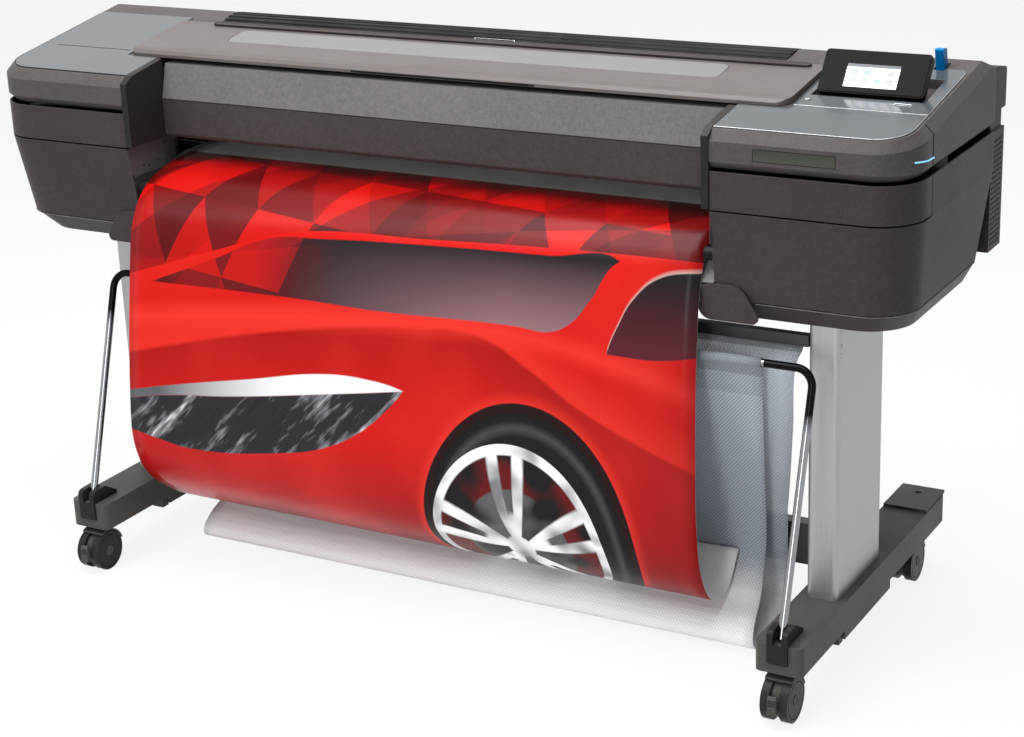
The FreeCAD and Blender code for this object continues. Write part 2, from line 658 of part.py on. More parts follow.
def cartridges():
    """Three ink cartridges on each side, on the shelf behind the door, with room to spring forward."""
    nose = "front_face + wall + cartridge_travel + 11"
    for sign in (-1, 1):
        name = sideName(sign)
        inner = "-left_inner" if sign < 0 else "right_inner"
        pitch = f"(half_width - 0.55 * corner_radius - ({inner})) / 3"
        for i in range(3):
            low, high = span(sign, f"{inner} + 8 + {i} * {pitch}", f"{inner} + {i + 1} * {pitch}")
            keep(f"{name}_cartridge_{i + 1}", prism(f"{name}_cartridge_{i + 1}", "YZ", [
                (nose, "door_bottom - seam"), ("bay_back - 1", "door_bottom - seam"),
                ("bay_back - 1", "door_top - 14"), (nose + " + 34", "door_top - 14"),
                (nose, "door_top - 20", 6)], low, high))


# ---- lid, roll cover, display and controls ----

def lid():
    """Top lid with the long window let into it."""
    slab = prism("lid_slab", "XY", [
        ("-lid_half", "lid_front", 14), ("lid_half", "lid_front", 26), ("lid_half", "lid_rear"),
        ("-lid_half", "lid_rear")], "roof_level - 40", "roof_cap + 60")
    slope = prism("lid_slope", "YZ", [
        ("lid_front", roof("lid_front", clearance)), ("lid_rear", roof("lid_rear", clearance)),
        ("lid_rear", roof("lid_rear", "lid_thick - 1")),
        ("lid_front + 22", roof("lid_front + 22", "lid_thick + 1")),
        ("lid_front + 8", roof("lid_front + 8", "lid_thick")),
        ("lid_front", roof("lid_front", "lid_thick - 4"))],
        "-lid_half", "lid_half")
    pocket = windowLayer("pocket", "0", "lid_thick + 9")
    keep("lid", cut("lid", common("lid_plate", slab, slope), [pocket]))
    keep("lid_window", windowLayer("window", "pane_gap", "lid_thick - 0.2"))


def windowLayer(label, inset, top):
    """Rounded slab in the lid's slope, from the pocket's floor up to a height over the roof."""
    left, right = f"pane_left + {inset}", f"pane_right - {inset}"
    near, far = f"pane_near + {inset}", f"pane_far - {inset}"
    radius = f"pane_radius - {inset}"
    outline = prism(label + "_plan", "XY", [
        (left, near, radius), (right, near, radius), (right, far, radius), (left, far, radius)],
        "roof_level", "roof_cap + 60")
    low, high = "2 * pane_near", "2 * pane_far"
    slope = prism(label + "_slope", "YZ", [
        (low, roof(low, "lid_thick - 2")), (high, roof(high, "lid_thick - 2")),
        (high, roof(high, top)), (low, roof(low, top))], "-lid_half", "lid_half")
    return common(label + "_layer", outline, slope)


def rollCover():
    """Ribbed arched cover over the roll, with the pull latch in its front edge."""
    near, far = "left_inner + 0.5", "right_inner - 0.5"
    length = f"{far} - ({near})"
    start = (near, "roll_place", "roll_level")
    shell = tube("cover_tube", "x", start, "cover_radius", "cover_radius - wall", length)
    ribs = []
    for i in range(9):
        slant = math.radians(50 + 9 * i)
        place = (near, f"roll_place - {math.cos(slant):.4f} * (cover_radius - rib_sink)",
                 f"roll_level + {math.sin(slant):.4f} * (cover_radius - rib_sink)")
        ribs.append(rod(f"cover_rib_{i}", "x", place, "rib_radius", length))
    keepZone = prism("cover_zone", "YZ", [
        ("lid_rear + 14", "roof_cap - 10"), ("lid_rear + 14", "roof_cap + 40"),
        ("rear_face + 28", "roof_cap + 40"), ("rear_face + 28", "roof_cap - 98"),
        ("rear_face - 4", "roof_cap - 98"), ("roll_place", "roll_level + 20")], near, far)
    seat = block("latch_seat", ("latch_left", "latch_right"),
                 ("lid_rear + 10", "lid_rear + 14 + latch_depth"), ("roof_cap - 30", "roof_cap + 12"))
    arch = common("cover_arch", fuse("cover_ribbed", [shell] + ribs), keepZone)
    keep("roll_cover", cut("roll_cover", arch, [seat]))
    latch = block("latch_block", ("latch_left + 0.5", "latch_right - 0.5"),
                  ("lid_rear + 14", "lid_rear + 13.5 + latch_depth"), ("roof_cap - 20", "roof_cap + 10"))
    arc = tube("latch_arc", "x", start, "cover_radius + 2", "cover_radius - wall - 2", length)
    keep("cover_latch", common("cover_latch", latch, arc))


def display():
    """Touch display leaning back on the barrel that it tilts about."""
    lean = FreeCAD.Rotation(Vector(1, 0, 0), -number("display_lean"))
    base = FreeCAD.Placement(Vector(number("display_left"), number("display_foot"),
                                    number(roof("display_foot", 5))), lean)

    def slab(label, margin, near, far):
        body = prism(label, "XZ", [
            (margin, margin, 6), (f"display_width - {margin}", margin, 6),
            (f"display_width - {margin}", f"display_height - {margin}", 6),
            (margin, f"display_height - {margin}", 6)],
            f"-({far})", f"-({near})")
        body.Placement = base
        return body
    barrel = rod("display_barrel", "x", (
        f"display_left - tray_margin + {clearance}", "display_foot + 6", roof("display_foot + 6", -7)), 5,
        f"display_width + 2 * (tray_margin - {clearance})")
    keep("display", fuse("display", [slab("display_slab", 0, 0, "display_thick"), barrel]))
    keep("display_glass", slab("display_glass", 2, -1, 0))


def controls():
    """Blue media lever on its pin and the power button."""
    stem = prism("lever_stem", "YZ", [
        ("lever_pivot - 6", roof("lever_pivot", -14), 3), ("lever_pivot + 6", roof("lever_pivot", -14), 3),
        ("lever_pivot + 8", roof("lever_pivot", 4)), ("lever_pivot + 2", "roof_cap + 32", 3),
        ("lever_pivot - 18", "roof_cap + 34", 3), ("lever_pivot - 10", roof("lever_pivot", 4))],
        "lever_place - 7", "lever_place + 7")
    start = (f"lever_place - 10 + {clearance}", "lever_pivot", roof("lever_pivot", -8))
    pin = rod("lever_pin", "x", start, 3, f"20 - 2 * {clearance}")
    keep("load_lever", fuse("load_lever", [stem, pin]))
    place = ("power_x", "power_y", roof("power_y", -3.5))
    keep("power_button", rod("power_button", "z", place, "button_radius", 7))


# ---- stand ----

def foot(sign):
    """Hollow foot bar with the plastic cap on its rear end."""
    name = sideName(sign)
    middle = f"stand_middle + {sign} * stand_half"
    low, high = f"{middle} - foot_width / 2", f"{middle} + foot_width / 2"
    bar = prism(name + "_foot_bar", "XY", [
        (low, "foot_front", 12), (high, "foot_front", 12), (high, "foot_rear", 6), (low, "foot_rear", 6)],
        "foot_bottom", "foot_top")
    pads = [block(name + "_pad_front", (f"{low} + 4", f"{high} - 4"),
                  ("column_front - 14", "column_front + 4"), ("foot_bottom - 20", "foot_bottom")),
            block(name + "_pad", (low, high), ("column_front + 4", "column_rear + 14"),
                  ("foot_bottom - 16", "foot_bottom"))]
    hollow = block(name + "_foot_hollow", (f"{low} + 4", f"{high} - 4"),
                   ("foot_front + 20", "foot_rear - 12"), ("foot_bottom + 4", "foot_top - 4"))
    bar = cut(name + "_foot_shell", fuse(name + "_foot_solid", [bar] + pads), [hollow])
    cap = cut(name + "_cap", block(name + "_cap_block", (f"{middle} - 40", f"{middle} + 40"),
                                   ("foot_rear - 98", "foot_rear + 7"), ("foot_top", "foot_top + 6")),
              [rod(name + "_cap_screw", "z", (middle, "foot_rear - 24", "foot_top + 3"), 6, 4)])
    keep(name + "_foot", group(name + "_foot", [bar, cap]))


def column(sign):
    """Hollow aluminium column with rounded corners."""
    name = sideName(sign)
    middle = f"stand_middle + {sign} * stand_half"
    body = newBody(name + "_column")
    addPad(body, "XY", columnPlan(middle, "0"), "foot_top", "body_bottom")
    addPocket(body, "XY", columnPlan(middle, "column_wall"))
    return body


def columnPlan(middle, inset):
    """Rounded outline of a column, or of the hollow inside it."""
    left, right = f"{middle} - column_width / 2 + {inset}", f"{middle} + column_width / 2 - {inset}"
    near, far = f"column_front + {inset}", f"column_rear - {inset}"
    radius = f"column_radius - {inset}"
    return [(left, near, radius), (right, near, radius), (right, far, radius), (left, far, radius)]


def crossBrace():
    """Hollow brace between the columns, just above the feet, and the rail that holds the basket's cloth."""
    low = "stand_middle - stand_half + foot_width / 2"
    high = "stand_middle + stand_half - foot_width / 2"
    outside = block("brace_outside", (low, high), ("brace_front", "brace_rear"),
                    ("brace_bottom", "brace_top"))
    inside = block("brace_inside", (low, high), ("brace_front + 2", "brace_rear - 2"),
                   ("brace_bottom + 2", "brace_top - 2"))
    keep("cross_brace", cut("cross_brace", outside, [inside]))
    low = "stand_middle - stand_half + column_width / 2"
    high = "stand_middle + stand_half - column_width / 2"
    across = ("column_front + 2", "column_front + 2 + rail_depth")
    keep("basket_rail", block("basket_rail", (low, high), across, ("hanger_bottom", "hanger_top")))


def caster(place, sign, stem):
    """Twin-wheel caster; the front pair has a brake pedal."""
    middle = f"stand_middle + {sign} * stand_half"
    axle = f"{stem} - trail"
    half = "wheel_gap / 2 + wheel_wide"
    plate = rod(place + "_plate", "z", (middle, stem, f"foot_bottom - 5 - {clearance}"), 14, 5)
    neck = rod(place + "_neck", "z", (middle, stem, "wheel_radius + 8"), 7, "foot_bottom - wheel_radius - 9")
    web = rod(place + "_web", "x", (f"{middle} - wheel_gap / 2 + {clearance}", axle, "wheel_radius"),
              "wheel_radius - 6", f"wheel_gap - 2 * {clearance}")
    arch = prism(place + "_arch", "YZ", [
        (f"{axle} - 16", "wheel_radius"), (f"{axle} + 16", "wheel_radius"),
        (f"{stem} + 6", "foot_bottom - 16"), (f"{stem} - 10", "foot_bottom - 10", 4),
        (f"{axle} - 8", "2 * wheel_radius - 2")],
        f"{middle} - wheel_gap / 2 + {clearance}", f"{middle} + wheel_gap / 2 - {clearance}")
    ring = tube(place + "_ring", "x", (f"{middle} - ({half})", axle, "wheel_radius"), "wheel_radius + 4.5",
                "wheel_radius + 1.5", f"2 * ({half})")
    zone = block(place + "_fender_zone", (f"{middle} - 40", f"{middle} + 40"),
                 (f"{axle} - 16", f"{axle} + 50"), ("wheel_radius + 12", "foot_bottom - 6"))
    fender = common(place + "_fender", ring, zone)
    hole = rod(place + "_axle_hole", "x", (f"{middle} - 20", axle, "wheel_radius"), 4.05, 40)
    keep(place + "_caster_hood", cut(place + "_caster_hood",
                                     fuse(place + "_hood_solid", [plate, neck, web, arch, fender]), [hole]))
    discs = []
    for way in (-1, 1):
        near = f"{middle} + {way} * (wheel_gap / 2) - {0 if way > 0 else 1} * wheel_wide"
        disc = rod(f"{place}_disc_{way + 2}", "x", (near, axle, "wheel_radius"), "wheel_radius", "wheel_wide")
        rim = tube(f"{place}_rim_{way + 2}", "x",
                   (f"{near} + {1 if way > 0 else 0} * (wheel_wide - 2)", axle, "wheel_radius"),
                   "wheel_radius - 6", "wheel_radius - 7.5", 2)
        discs.append(cut(f"{place}_wheel_{way + 2}", disc, [rim]))
    start = (f"{middle} - ({half}) + 2", axle, "wheel_radius")
    shaft = rod(place + "_axle", "x", start, 4, f"2 * ({half}) - 4")
    keep(place + "_caster_wheels", fuse(place + "_caster_wheels", discs + [shaft]))
    if place.startswith("front"):
        toe = f"{axle} - wheel_radius"
        outline = [(f"{toe} - 8", "wheel_radius - 10"), (f"{toe} - 2", "wheel_radius - 10"),
                   (toe, "wheel_radius - 4"),
                   (f"{axle} - wheel_radius + 6 - 2 * {clearance}", "wheel_radius - 2.5"),
                   (f"{axle} - wheel_radius + 6 - 2 * {clearance}", "wheel_radius + 2.5"),
                   (toe, "wheel_radius + 5"),
                   (f"{toe} - 4", "wheel_radius + 22"), (f"{toe} - 8", "wheel_radius + 16")]
        keep(place + "_brake_pedal", prism(place + "_brake_pedal", "YZ", outline,
                                           f"{middle} - wheel_gap / 2 + 1", f"{middle} + wheel_gap / 2 - 1"))


# ---- basket ----

def hingeBrackets():
    """Clevis on each foot's front end that the basket rod turns in."""
    brackets = []
    for sign in (-1, 1):
        middle = f"stand_middle + {sign} * stand_half"
        solid = prism(sideName(sign) + "_clevis", "YZ", [
            ("foot_front - 4", "foot_bottom + 18"), ("foot_front", "foot_bottom + 18"),
            ("foot_front", "foot_top"), ("pivot_place + 46", "foot_top"),
            ("pivot_place + 46", "foot_top + 6", 3),
            ("pivot_place + 14", "pivot_level + 14", 8), ("foot_front - 4", "pivot_level + 12", 10)],
            f"{middle} - 18", f"{middle} + 18")
        slot = block(sideName(sign) + "_slot", (f"{middle} - rod_radius - 1", f"{middle} + rod_radius + 1"),
                     ("foot_front - 10", "pivot_place + 50"), ("foot_top", "pivot_level + 60"))
        start = (f"{middle} - 17", "pivot_place", "pivot_level")
        pin = rod(sideName(sign) + "_pivot_pin", "x", start, "pin_radius", 34)
        ears = cut(sideName(sign) + "_ears", solid, [slot])
        brackets.append(fuse(sideName(sign) + "_bracket", [ears, pin]))
    keep("hinge_brackets", group("hinge_brackets", brackets))


def basketFrame():
    """Two bent rods and the bar that joins them inside the cloth's sleeve."""
    rods = []
    for sign in (-1, 1):
        outer = number(f"stand_middle + {sign} * stand_half")
        pivot = Vector(outer, number("pivot_place"), number("pivot_level"))
        bend = Vector(outer, number("bar_place"), number("bar_level"))
        end = bend - Vector(sign * number("joint_reach"), 0, 0)
        reach = number("bend_radius")
        enter = bend + (pivot - bend).normalize() * reach
        leave = bend + (end - bend).normalize() * reach
        inward = (pivot - bend).normalize() + (end - bend).normalize()
        middle = bend + inward * (reach * (1 - math.sqrt(0.5)))
        stub = pivot - (enter - pivot).normalize() * number("rod_stub")
        path = Part.Wire([Part.LineSegment(stub, enter).toShape(), Part.Arc(enter, middle, leave).toShape(),
                          Part.LineSegment(leave, end).toShape()])
        section = Part.Wire([Part.Circle(stub, enter - stub, number("rod_radius")).toShape()])
        eye = Part.makeCylinder(number("pin_radius") + 0.05, 40, pivot - Vector(20, 0, 0), Vector(1, 0, 0))
        rods.append(path.makePipeShell([section], True, False).cut(eye))
    return rods


def basket():
    rods = document.addObject("Part::Feature", "basket_rods")
    rods.Shape = Part.makeCompound(basketFrame())
    keep("basket_rods", rods)
    reach = "stand_half - joint_reach"
    keep("basket_bar", rod("basket_bar", "x", (f"stand_middle - ({reach})", "bar_place", "bar_level"),
                           "rod_radius", f"2 * ({reach})"))


def strip(label, points, thickness, low, high):
    """Thin sheet: a smooth line through (y, z) points, thickened and extruded along X."""
    line = Part.BSplineCurve()
    line.interpolate([Vector(0, y, z) for y, z in points])
    sides = []
    count = 4 * len(points)
    for way in (-0.5, 0.5):
        spots = []
        for i in range(count + 1):
            at = line.FirstParameter + (line.LastParameter - line.FirstParameter) * i / count
            along = line.tangent(at)[0]
            spots.append(line.value(at) + Vector(0, -along.z, along.y) * (way * thickness))
        side = Part.BSplineCurve()
        side.interpolate(spots)
        sides.append(side)
    first, second = sides
    wire = Part.Wire([first.toShape(), Part.LineSegment(first.EndPoint, second.EndPoint).toShape(),
                      second.toShape(), Part.LineSegment(second.StartPoint, first.StartPoint).toShape()])
    face = Part.Face(wire)
    face.translate(Vector(low, 0, 0))
    feature = document.addObject("Part::Feature", label)
    feature.Shape = face.extrude(Vector(high - low, 0, 0))
    return feature


def cloth():
    """Sling of open mesh from the sleeve on the bar, under the print's tail and up to the rail."""
    barPlace, barLevel = number("bar_place"), number("bar_level")
    gap = number("rod_radius") + clearance
    railPlace = number("column_front + 2 + rail_depth / 2")
    thickness = number("sleeve_thick")
    frontLayer = [(barPlace, barLevel - gap - thickness / 2), (-182, 505), (-112, 325), (-52, 165)]
    fold = [(-62, 100), (-112, 66), (-170, 52), (-196, 42), (-190, 28), (-150, 24), (-60, 26)]
    backLayer = [(-8, 52), (0, 90), (-14, 135), (-64, 285), (railPlace - 16, number("hanger_bottom") - 60),
                 (railPlace, number("hanger_bottom") - 0.6)]
    points = frontLayer + fold + backLayer
    low = number("stand_middle - cloth_half")
    high = number("stand_middle + cloth_half")
    sling = strip("sling", points, thickness, low, high)
    sleeve = tube("sleeve", "x", (str(low), "bar_place", "bar_level"), f"{gap} + sleeve_thick", str(gap),
                  str(high - low))
    keep("basket_cloth", fuse("basket_cloth", [sling, sleeve]))


def finishedPrint():
    """The finished print: from the roll through the nip, down the apron and into the basket."""
    half = number("media_width") / 2
    middle = number("media_middle")
    thickness = number("media_thickness")
    nip = number("nip_level") + 2 * clearance + thickness / 2
    nipPlace = number("nip_place")
    start = (number("roll_place - roll_radius") - 0.8, number("roll_level") + 8)
    fromRoll = [start, (start[0] - 5, 850), (start[0] - 13, 800), (start[0] - 18, 778)]
    throughNip = [(nipPlace + 9, nip + 1.6), (nipPlace, nip), (nipPlace - 8, nip), (0, nip), (-60, nip)]
    overApron = [(-118, 758), (-165, 739), (-205, 704), (-236, 655), (-253, 600)]
    hanging = [(-264, 490), (-272, 370), (-264, 260), (-240, 170)]
    inBasket = [(-200, 112), (-150, 90), (-106, 100), (-84, 140)]
    points = fromRoll + throughNip + overApron + hanging + inBasket
    keep("media_sheet", strip("media_sheet", points, thickness, middle - half, middle + half))


def buildAll():
    for sign in (-1, 1):
        lowerCover(sign)
        topCover(sign)
        inkDoor(sign)
        foot(sign)
        caster("front_" + sideName(sign), sign, "front_stem")
        caster("rear_" + sideName(sign), sign, "rear_stem")
    topPanels()
    cheekBars()
    frontFascia()
    rearPanel()
    electronicsBox()
    baseBeam()
    sidePlates()
    carriageRail()
    carriage()
    beltDrive()
    paperRollers()
    outputGuide()
    mediaRoll()
    serviceStation()
    cartridges()
    lid()
    rollCover()
    display()
    controls()
    keep("stand_columns", group("stand_columns", [column(-1), column(1)]))
    crossBrace()
    hingeBrackets()
    basket()
    cloth()
    finishedPrint()


buildAll()
document.recompute()
for item in document.Objects:
    if "Invalid" in item.State or "Error" in item.State:
        raise RuntimeError(f"{item.Label} did not build")
for label, piece in subParts.items():
    if piece.Shape.isNull() or not piece.Shape.isValid():
        raise RuntimeError(f"{label} has no valid shape")
os.makedirs("parts", exist_ok=True)
for label, piece in subParts.items():
    piece.Shape.exportStep(f"parts/{label}.step")
print(len(subParts), "sub-parts")
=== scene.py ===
import math
import bmesh
import bpy
from mathutils import Matrix, Vector


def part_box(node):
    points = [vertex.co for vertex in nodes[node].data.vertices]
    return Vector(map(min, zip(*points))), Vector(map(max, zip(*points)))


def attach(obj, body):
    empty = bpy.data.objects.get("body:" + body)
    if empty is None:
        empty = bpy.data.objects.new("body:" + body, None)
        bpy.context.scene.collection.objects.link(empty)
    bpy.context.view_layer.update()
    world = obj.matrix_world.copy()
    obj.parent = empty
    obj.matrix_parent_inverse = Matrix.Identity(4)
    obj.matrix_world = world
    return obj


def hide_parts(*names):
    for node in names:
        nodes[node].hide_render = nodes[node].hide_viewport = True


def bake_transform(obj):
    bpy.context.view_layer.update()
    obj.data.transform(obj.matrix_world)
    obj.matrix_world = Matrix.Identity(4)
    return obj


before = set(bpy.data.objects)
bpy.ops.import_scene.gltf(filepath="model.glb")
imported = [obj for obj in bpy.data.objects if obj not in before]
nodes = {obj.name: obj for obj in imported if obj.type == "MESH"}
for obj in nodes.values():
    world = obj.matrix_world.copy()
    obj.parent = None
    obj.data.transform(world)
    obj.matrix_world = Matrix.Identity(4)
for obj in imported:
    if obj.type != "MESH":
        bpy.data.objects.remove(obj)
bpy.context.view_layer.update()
bpy.ops.object.select_all(action="DESELECT")
print("frame loaded:", len(nodes), "nodes")


# small tools for node trees

def tone(red, green, blue):
    # a screen colour from 0 to 255, as the shader wants it
    return [((part / 255 + 0.055) / 1.055) ** 2.4 if part > 10 else part / 3294.6
            for part in (red, green, blue)] + [1]


def scaled(colour, factor):
    return [min(part * factor, 1) for part in colour[:3]] + [1]


def wire(inputs, values):
    # links what comes from another node and sets what is a plain value
    for key, value in values.items():
        if isinstance(value, bpy.types.NodeSocket):
            value.id_data.links.new(value, inputs[key])
        else:
            inputs[key].default_value = value


def addNode(tree, kind, inputs=None, **settings):
    made = tree.nodes.new("ShaderNode" + kind)
    for key, value in settings.items():
        setattr(made, key, value)
    wire(made.inputs, inputs or {})
    return made


def treeOf(*values):
    # the node tree that the linked ones among some values belong to
    return next(value.id_data for value in values if isinstance(value, bpy.types.NodeSocket))


def calc(operation, *values):
    return addNode(treeOf(*values), "Math", dict(enumerate(values)), operation=operation).outputs[0]


def plus(first, second):
    return calc("ADD", first, second)


def minus(first, second):
    return calc("SUBTRACT", first, second)


def times(first, second):
    return calc("MULTIPLY", first, second)


def most(first, second):
    return calc("MAXIMUM", first, second)


def joinedPlace(*parts):
    return addNode(treeOf(*parts), "CombineXYZ", dict(enumerate(parts))).outputs[0]


def splitPlace(place):
    return addNode(place.id_data, "SeparateXYZ", {0: place}).outputs


def fade(value, low, high, first=0.0, last=1.0):
    return addNode(value.id_data, "MapRange", {0: value, 1: low, 2: high, 3: first, 4: last}).outputs[0]


def mixed(mask, first, second, mode="MIX"):
    tree = treeOf(mask, first, second)
    return addNode(tree, "Mix", {0: mask, 6: first, 7: second}, data_type="RGBA", blend_type=mode).outputs[2]


def ramp(value, stops, interpolation="LINEAR"):
    made = addNode(value.id_data, "ValToRGB", {0: value})
    made.color_ramp.interpolation = interpolation
    strip = made.color_ramp.elements
    while len(strip) < len(stops):
        strip.new(0.5)
    for element, (place, colour) in zip(strip, stops):
        element.position = place
        element.color = colour
    return made.outputs[0]


def noise(place, scale, detail=2.0, rough=0.5):
    settings = {"Vector": place, "Scale": scale, "Detail": detail, "Roughness": rough}
    return addNode(place.id_data, "TexNoise", settings).outputs[0]


def chance(cell):
    # a value from 0 to 1 that is each cell's own
    return addNode(cell.id_data, "TexWhiteNoise", {0: cell}, noise_dimensions="3D").outputs[0]


def ownMap(material):
    # a piece's own flat map: across, then along
    return splitPlace(addNode(material.node_tree, "UVMap", uv_map="UVMap").outputs[0])


def bumped(height, strength, distance):
    settings = {"Strength": strength, "Distance": distance, "Height": height}
    return addNode(height.id_data, "Bump", settings).outputs[0]


def newGroup(name, inputs, outputs):
    group = bpy.data.node_groups.new(name, "ShaderNodeTree")
    for label, kind, value in inputs:
        socket = group.interface.new_socket(label, in_out="INPUT", socket_type="NodeSocket" + kind)
        socket.default_value = value
    for label, kind in outputs:
        group.interface.new_socket(label, in_out="OUTPUT", socket_type="NodeSocket" + kind)
    return group, group.nodes.new("NodeGroupInput").outputs, group.nodes.new("NodeGroupOutput").inputs


def useGroup(group, **inputs):
    return addNode(treeOf(*inputs.values()), "Group", inputs, node_tree=group).outputs


# camera, lamps and floor

cameraView = {"place": (1.9226, -3.1988, 1.7087), "azimuth": 30.0, "elevation": 19.5, "roll": -2.3,
              "lens": 75.44}

lamps = {
    "softKey": {"place": (-1.6, -2.6, 3.9), "aim": (0, 0, 0.6), "size": (2.4, 2.4), "power": 80},
    "softStrip": {"place": (0.9, -5.2, 1.2), "aim": (0.2, 0, 0.7), "size": (0.9, 2.6), "power": 62},
    "softTop": {"place": (0.0, -0.3, 3.7), "aim": (0, 0, 0.9), "size": (3.0, 3.0), "power": 165},
}

studio = {"ambient": 0.22, "floorSize": 30, "floorShade": 0.14, "floorColour": 0.9}


def seenRays(tree):
    # 1 for rays that look at the background, straight, mirrored or through glass
    path = addNode(tree, "LightPath").outputs
    seen = most(path["Is Camera Ray"], path["Is Transmission Ray"])
    return most(seen, path["Is Glossy Ray"])


def addCamera():
    azimuth, elevation, roll = (math.radians(cameraView[key]) for key in ("azimuth", "elevation", "roll"))
    forward = Vector((-math.sin(azimuth) * math.cos(elevation), math.cos(azimuth) * math.cos(elevation),
                      -math.sin(elevation)))
    right = Vector((math.cos(azimuth), math.sin(azimuth), 0))
    up = right.cross(forward)
    leanRight = right * math.cos(roll) + up * math.sin(roll)
    leanUp = up * math.cos(roll) - right * math.sin(roll)
    bpy.ops.object.camera_add()
    camera = bpy.context.object
    turn = Matrix((leanRight, leanUp, -forward)).transposed().to_4x4()
    camera.matrix_world = Matrix.Translation(cameraView["place"]) @ turn
    camera.data.sensor_width = 36
    camera.data.lens = cameraView["lens"]
    camera.data.clip_end = 60
    bpy.context.scene.camera = camera


def addLamps():
    for name, lamp in lamps.items():
        bpy.ops.object.light_add(type="AREA", location=lamp["place"])
        light = bpy.context.object
        light.name = name
        light.data.shape = "RECTANGLE"
        light.data.size, light.data.size_y = lamp["size"]
        light.data.energy = lamp["power"]
        towards = Vector(lamp["aim"]) - Vector(lamp["place"])
        light.rotation_euler = towards.to_track_quat("-Z", "Y").to_euler()


def addWorld():
    world = bpy.data.worlds.new("studio")
    bpy.context.scene.world = world
    world.use_nodes = True
    tree = world.node_tree
    back = tree.nodes["Background"].inputs
    wire(back, {"Strength": fade(seenRays(tree), 0.0, 1.0, studio["ambient"], 1.0), "Color": (1, 1, 1, 1)})


def addFloor():
    bpy.ops.mesh.primitive_plane_add(size=studio["floorSize"], location=(0, 0, 0))
    floor = bpy.context.object
    floor.name = "studio_floor"
    material = bpy.data.materials.new("paleFloor")
    material.use_nodes = True
    tree = material.node_tree
    tree.nodes.remove(tree.nodes["Principled BSDF"])
    matt = addNode(tree, "BsdfDiffuse", {"Color": (studio["floorColour"],) * 3 + (1,)}).outputs[0]
    glow = addNode(tree, "Emission", {"Color": (1, 1, 1, 1)}).outputs[0]
    share = times(seenRays(tree), 1 - studio["floorShade"])
    mix = addNode(tree, "MixShader", {0: share, 1: matt, 2: glow}).outputs[0]
    tree.links.new(mix, tree.nodes["Material Output"].inputs["Surface"])
    floor.data.materials.append(material)


addCamera()
addLamps()
addWorld()
addFloor()
bpy.context.scene.view_settings.view_transform = "Standard"
print("camera, lamps and floor placed")


# shared effects

def makeGrain():
    # fine moulded texture with slow patches of colour
    tree, given, out = newGroup("mouldedGrain", [("Place", "Vector", (0, 0, 0)), ("Size", "Float", 700.0)],
                                [("Tone", "Float"), ("Height", "Float"), ("Patch", "Float")])
    fine = noise(given["Place"], given["Size"], 2.0, 0.6)
    coarse = noise(given["Place"], times(given["Size"], 0.3), 2.0)
    patch = noise(given["Place"], 5.0, 3.0)
    speckle = plus(times(fine, 0.6), times(coarse, 0.4))
    both = plus(times(speckle, 0.75), times(patch, 0.25))
    wire(out, {"Tone": fade(both, 0.36, 0.64), "Height": speckle, "Patch": fade(patch, 0.3, 0.7)})
    return tree


def makeEdge():
    # rounds the corners in the shading, adds the bump, and finds the corners for wear and for a painted edge
    # highlight
    tree, given, out = newGroup(
        "softEdge", [("Radius", "Float", 0.001), ("Height", "Float", 0.5), ("Depth", "Float", 0.0001)],
        [("Normal", "Vector"), ("Edge", "Float")])
    bevel = addNode(tree, "Bevel", {"Radius": given["Radius"]}, samples=4).outputs[0]
    flat = addNode(tree, "NewGeometry").outputs["True Normal"]
    along = addNode(tree, "VectorMath", {0: bevel, 1: flat}, operation="DOT_PRODUCT").outputs["Value"]
    bump = addNode(tree, "Bump", {"Strength": 1.0, "Distance": given["Depth"], "Height": given["Height"],
                                  "Normal": bevel}).outputs[0]
    wire(out, {"Edge": fade(along, 0.995, 0.9), "Normal": bump})
    return tree


def makeDust():
    # a thin film of dust that settles on what faces up
    tree, given, out = newGroup("dustFilm", [("Place", "Vector", (0, 0, 0))], [("Mask", "Float")])
    facing = splitPlace(addNode(tree, "NewGeometry").outputs["Normal"])["Z"]
    cloud = noise(given["Place"], 9.0, 5.0, 0.65)
    wire(out, {"Mask": times(fade(facing, 0.3, 1.0), fade(cloud, 0.42, 0.75))})
    return tree


def makeBrush():
    # long fine scratches along one axis
    tree, given, out = newGroup("brushedLines", [("Place", "Vector", (0, 0, 0)),
                                                 ("Stretch", "Vector", (900, 900, 6))],
                                [("Tone", "Float"), ("Height", "Float")])
    drawn = addNode(tree, "VectorMath", {0: given["Place"], 1: given["Stretch"]},
                    operation="MULTIPLY").outputs[0]
    lines = noise(drawn, 1.0, 3.0, 0.6)
    wire(out, {"Tone": fade(lines, 0.3, 0.7), "Height": lines})
    return tree


def makeWeave():
    # open net: threads across and along, over and under each other
    tree, given, out = newGroup(
        "openWeave", [("Place", "Vector", (0, 0, 0)), ("Pitch", "Float", 0.003), ("Fill", "Float", 0.5)],
        [("Thread", "Float"), ("Height", "Float")])
    cell = addNode(tree, "VectorMath", {0: given["Place"], 1: calc("DIVIDE", 1.0, given["Pitch"])},
                   operation="MULTIPLY").outputs[0]
    parts = splitPlace(cell)
    rows = calc("FLOOR", parts["Y"])
    shifted = plus(parts["X"], times(rows, 0.5))
    upright = calc("ABSOLUTE", minus(calc("FRACT", shifted), 0.5))
    level = calc("ABSOLUTE", minus(calc("FRACT", parts["Y"]), 0.5))
    nearest = most(upright, level)
    edge = minus(0.5, times(given["Fill"], 0.5))
    wire(out, {"Thread": fade(minus(nearest, edge), -0.05, 0.05), "Height": nearest})
    return tree


grainGroup = makeGrain()
edgeGroup = makeEdge()
dustGroup = makeDust()
brushGroup = makeBrush()
weaveGroup = makeWeave()


# finishes

def newMaterial(name):
    material = bpy.data.materials.new(name)
    material.use_nodes = True
    tree = material.node_tree
    place = addNode(tree, "TexCoord").outputs["Object"]
    return material, tree.nodes["Principled BSDF"].inputs, place


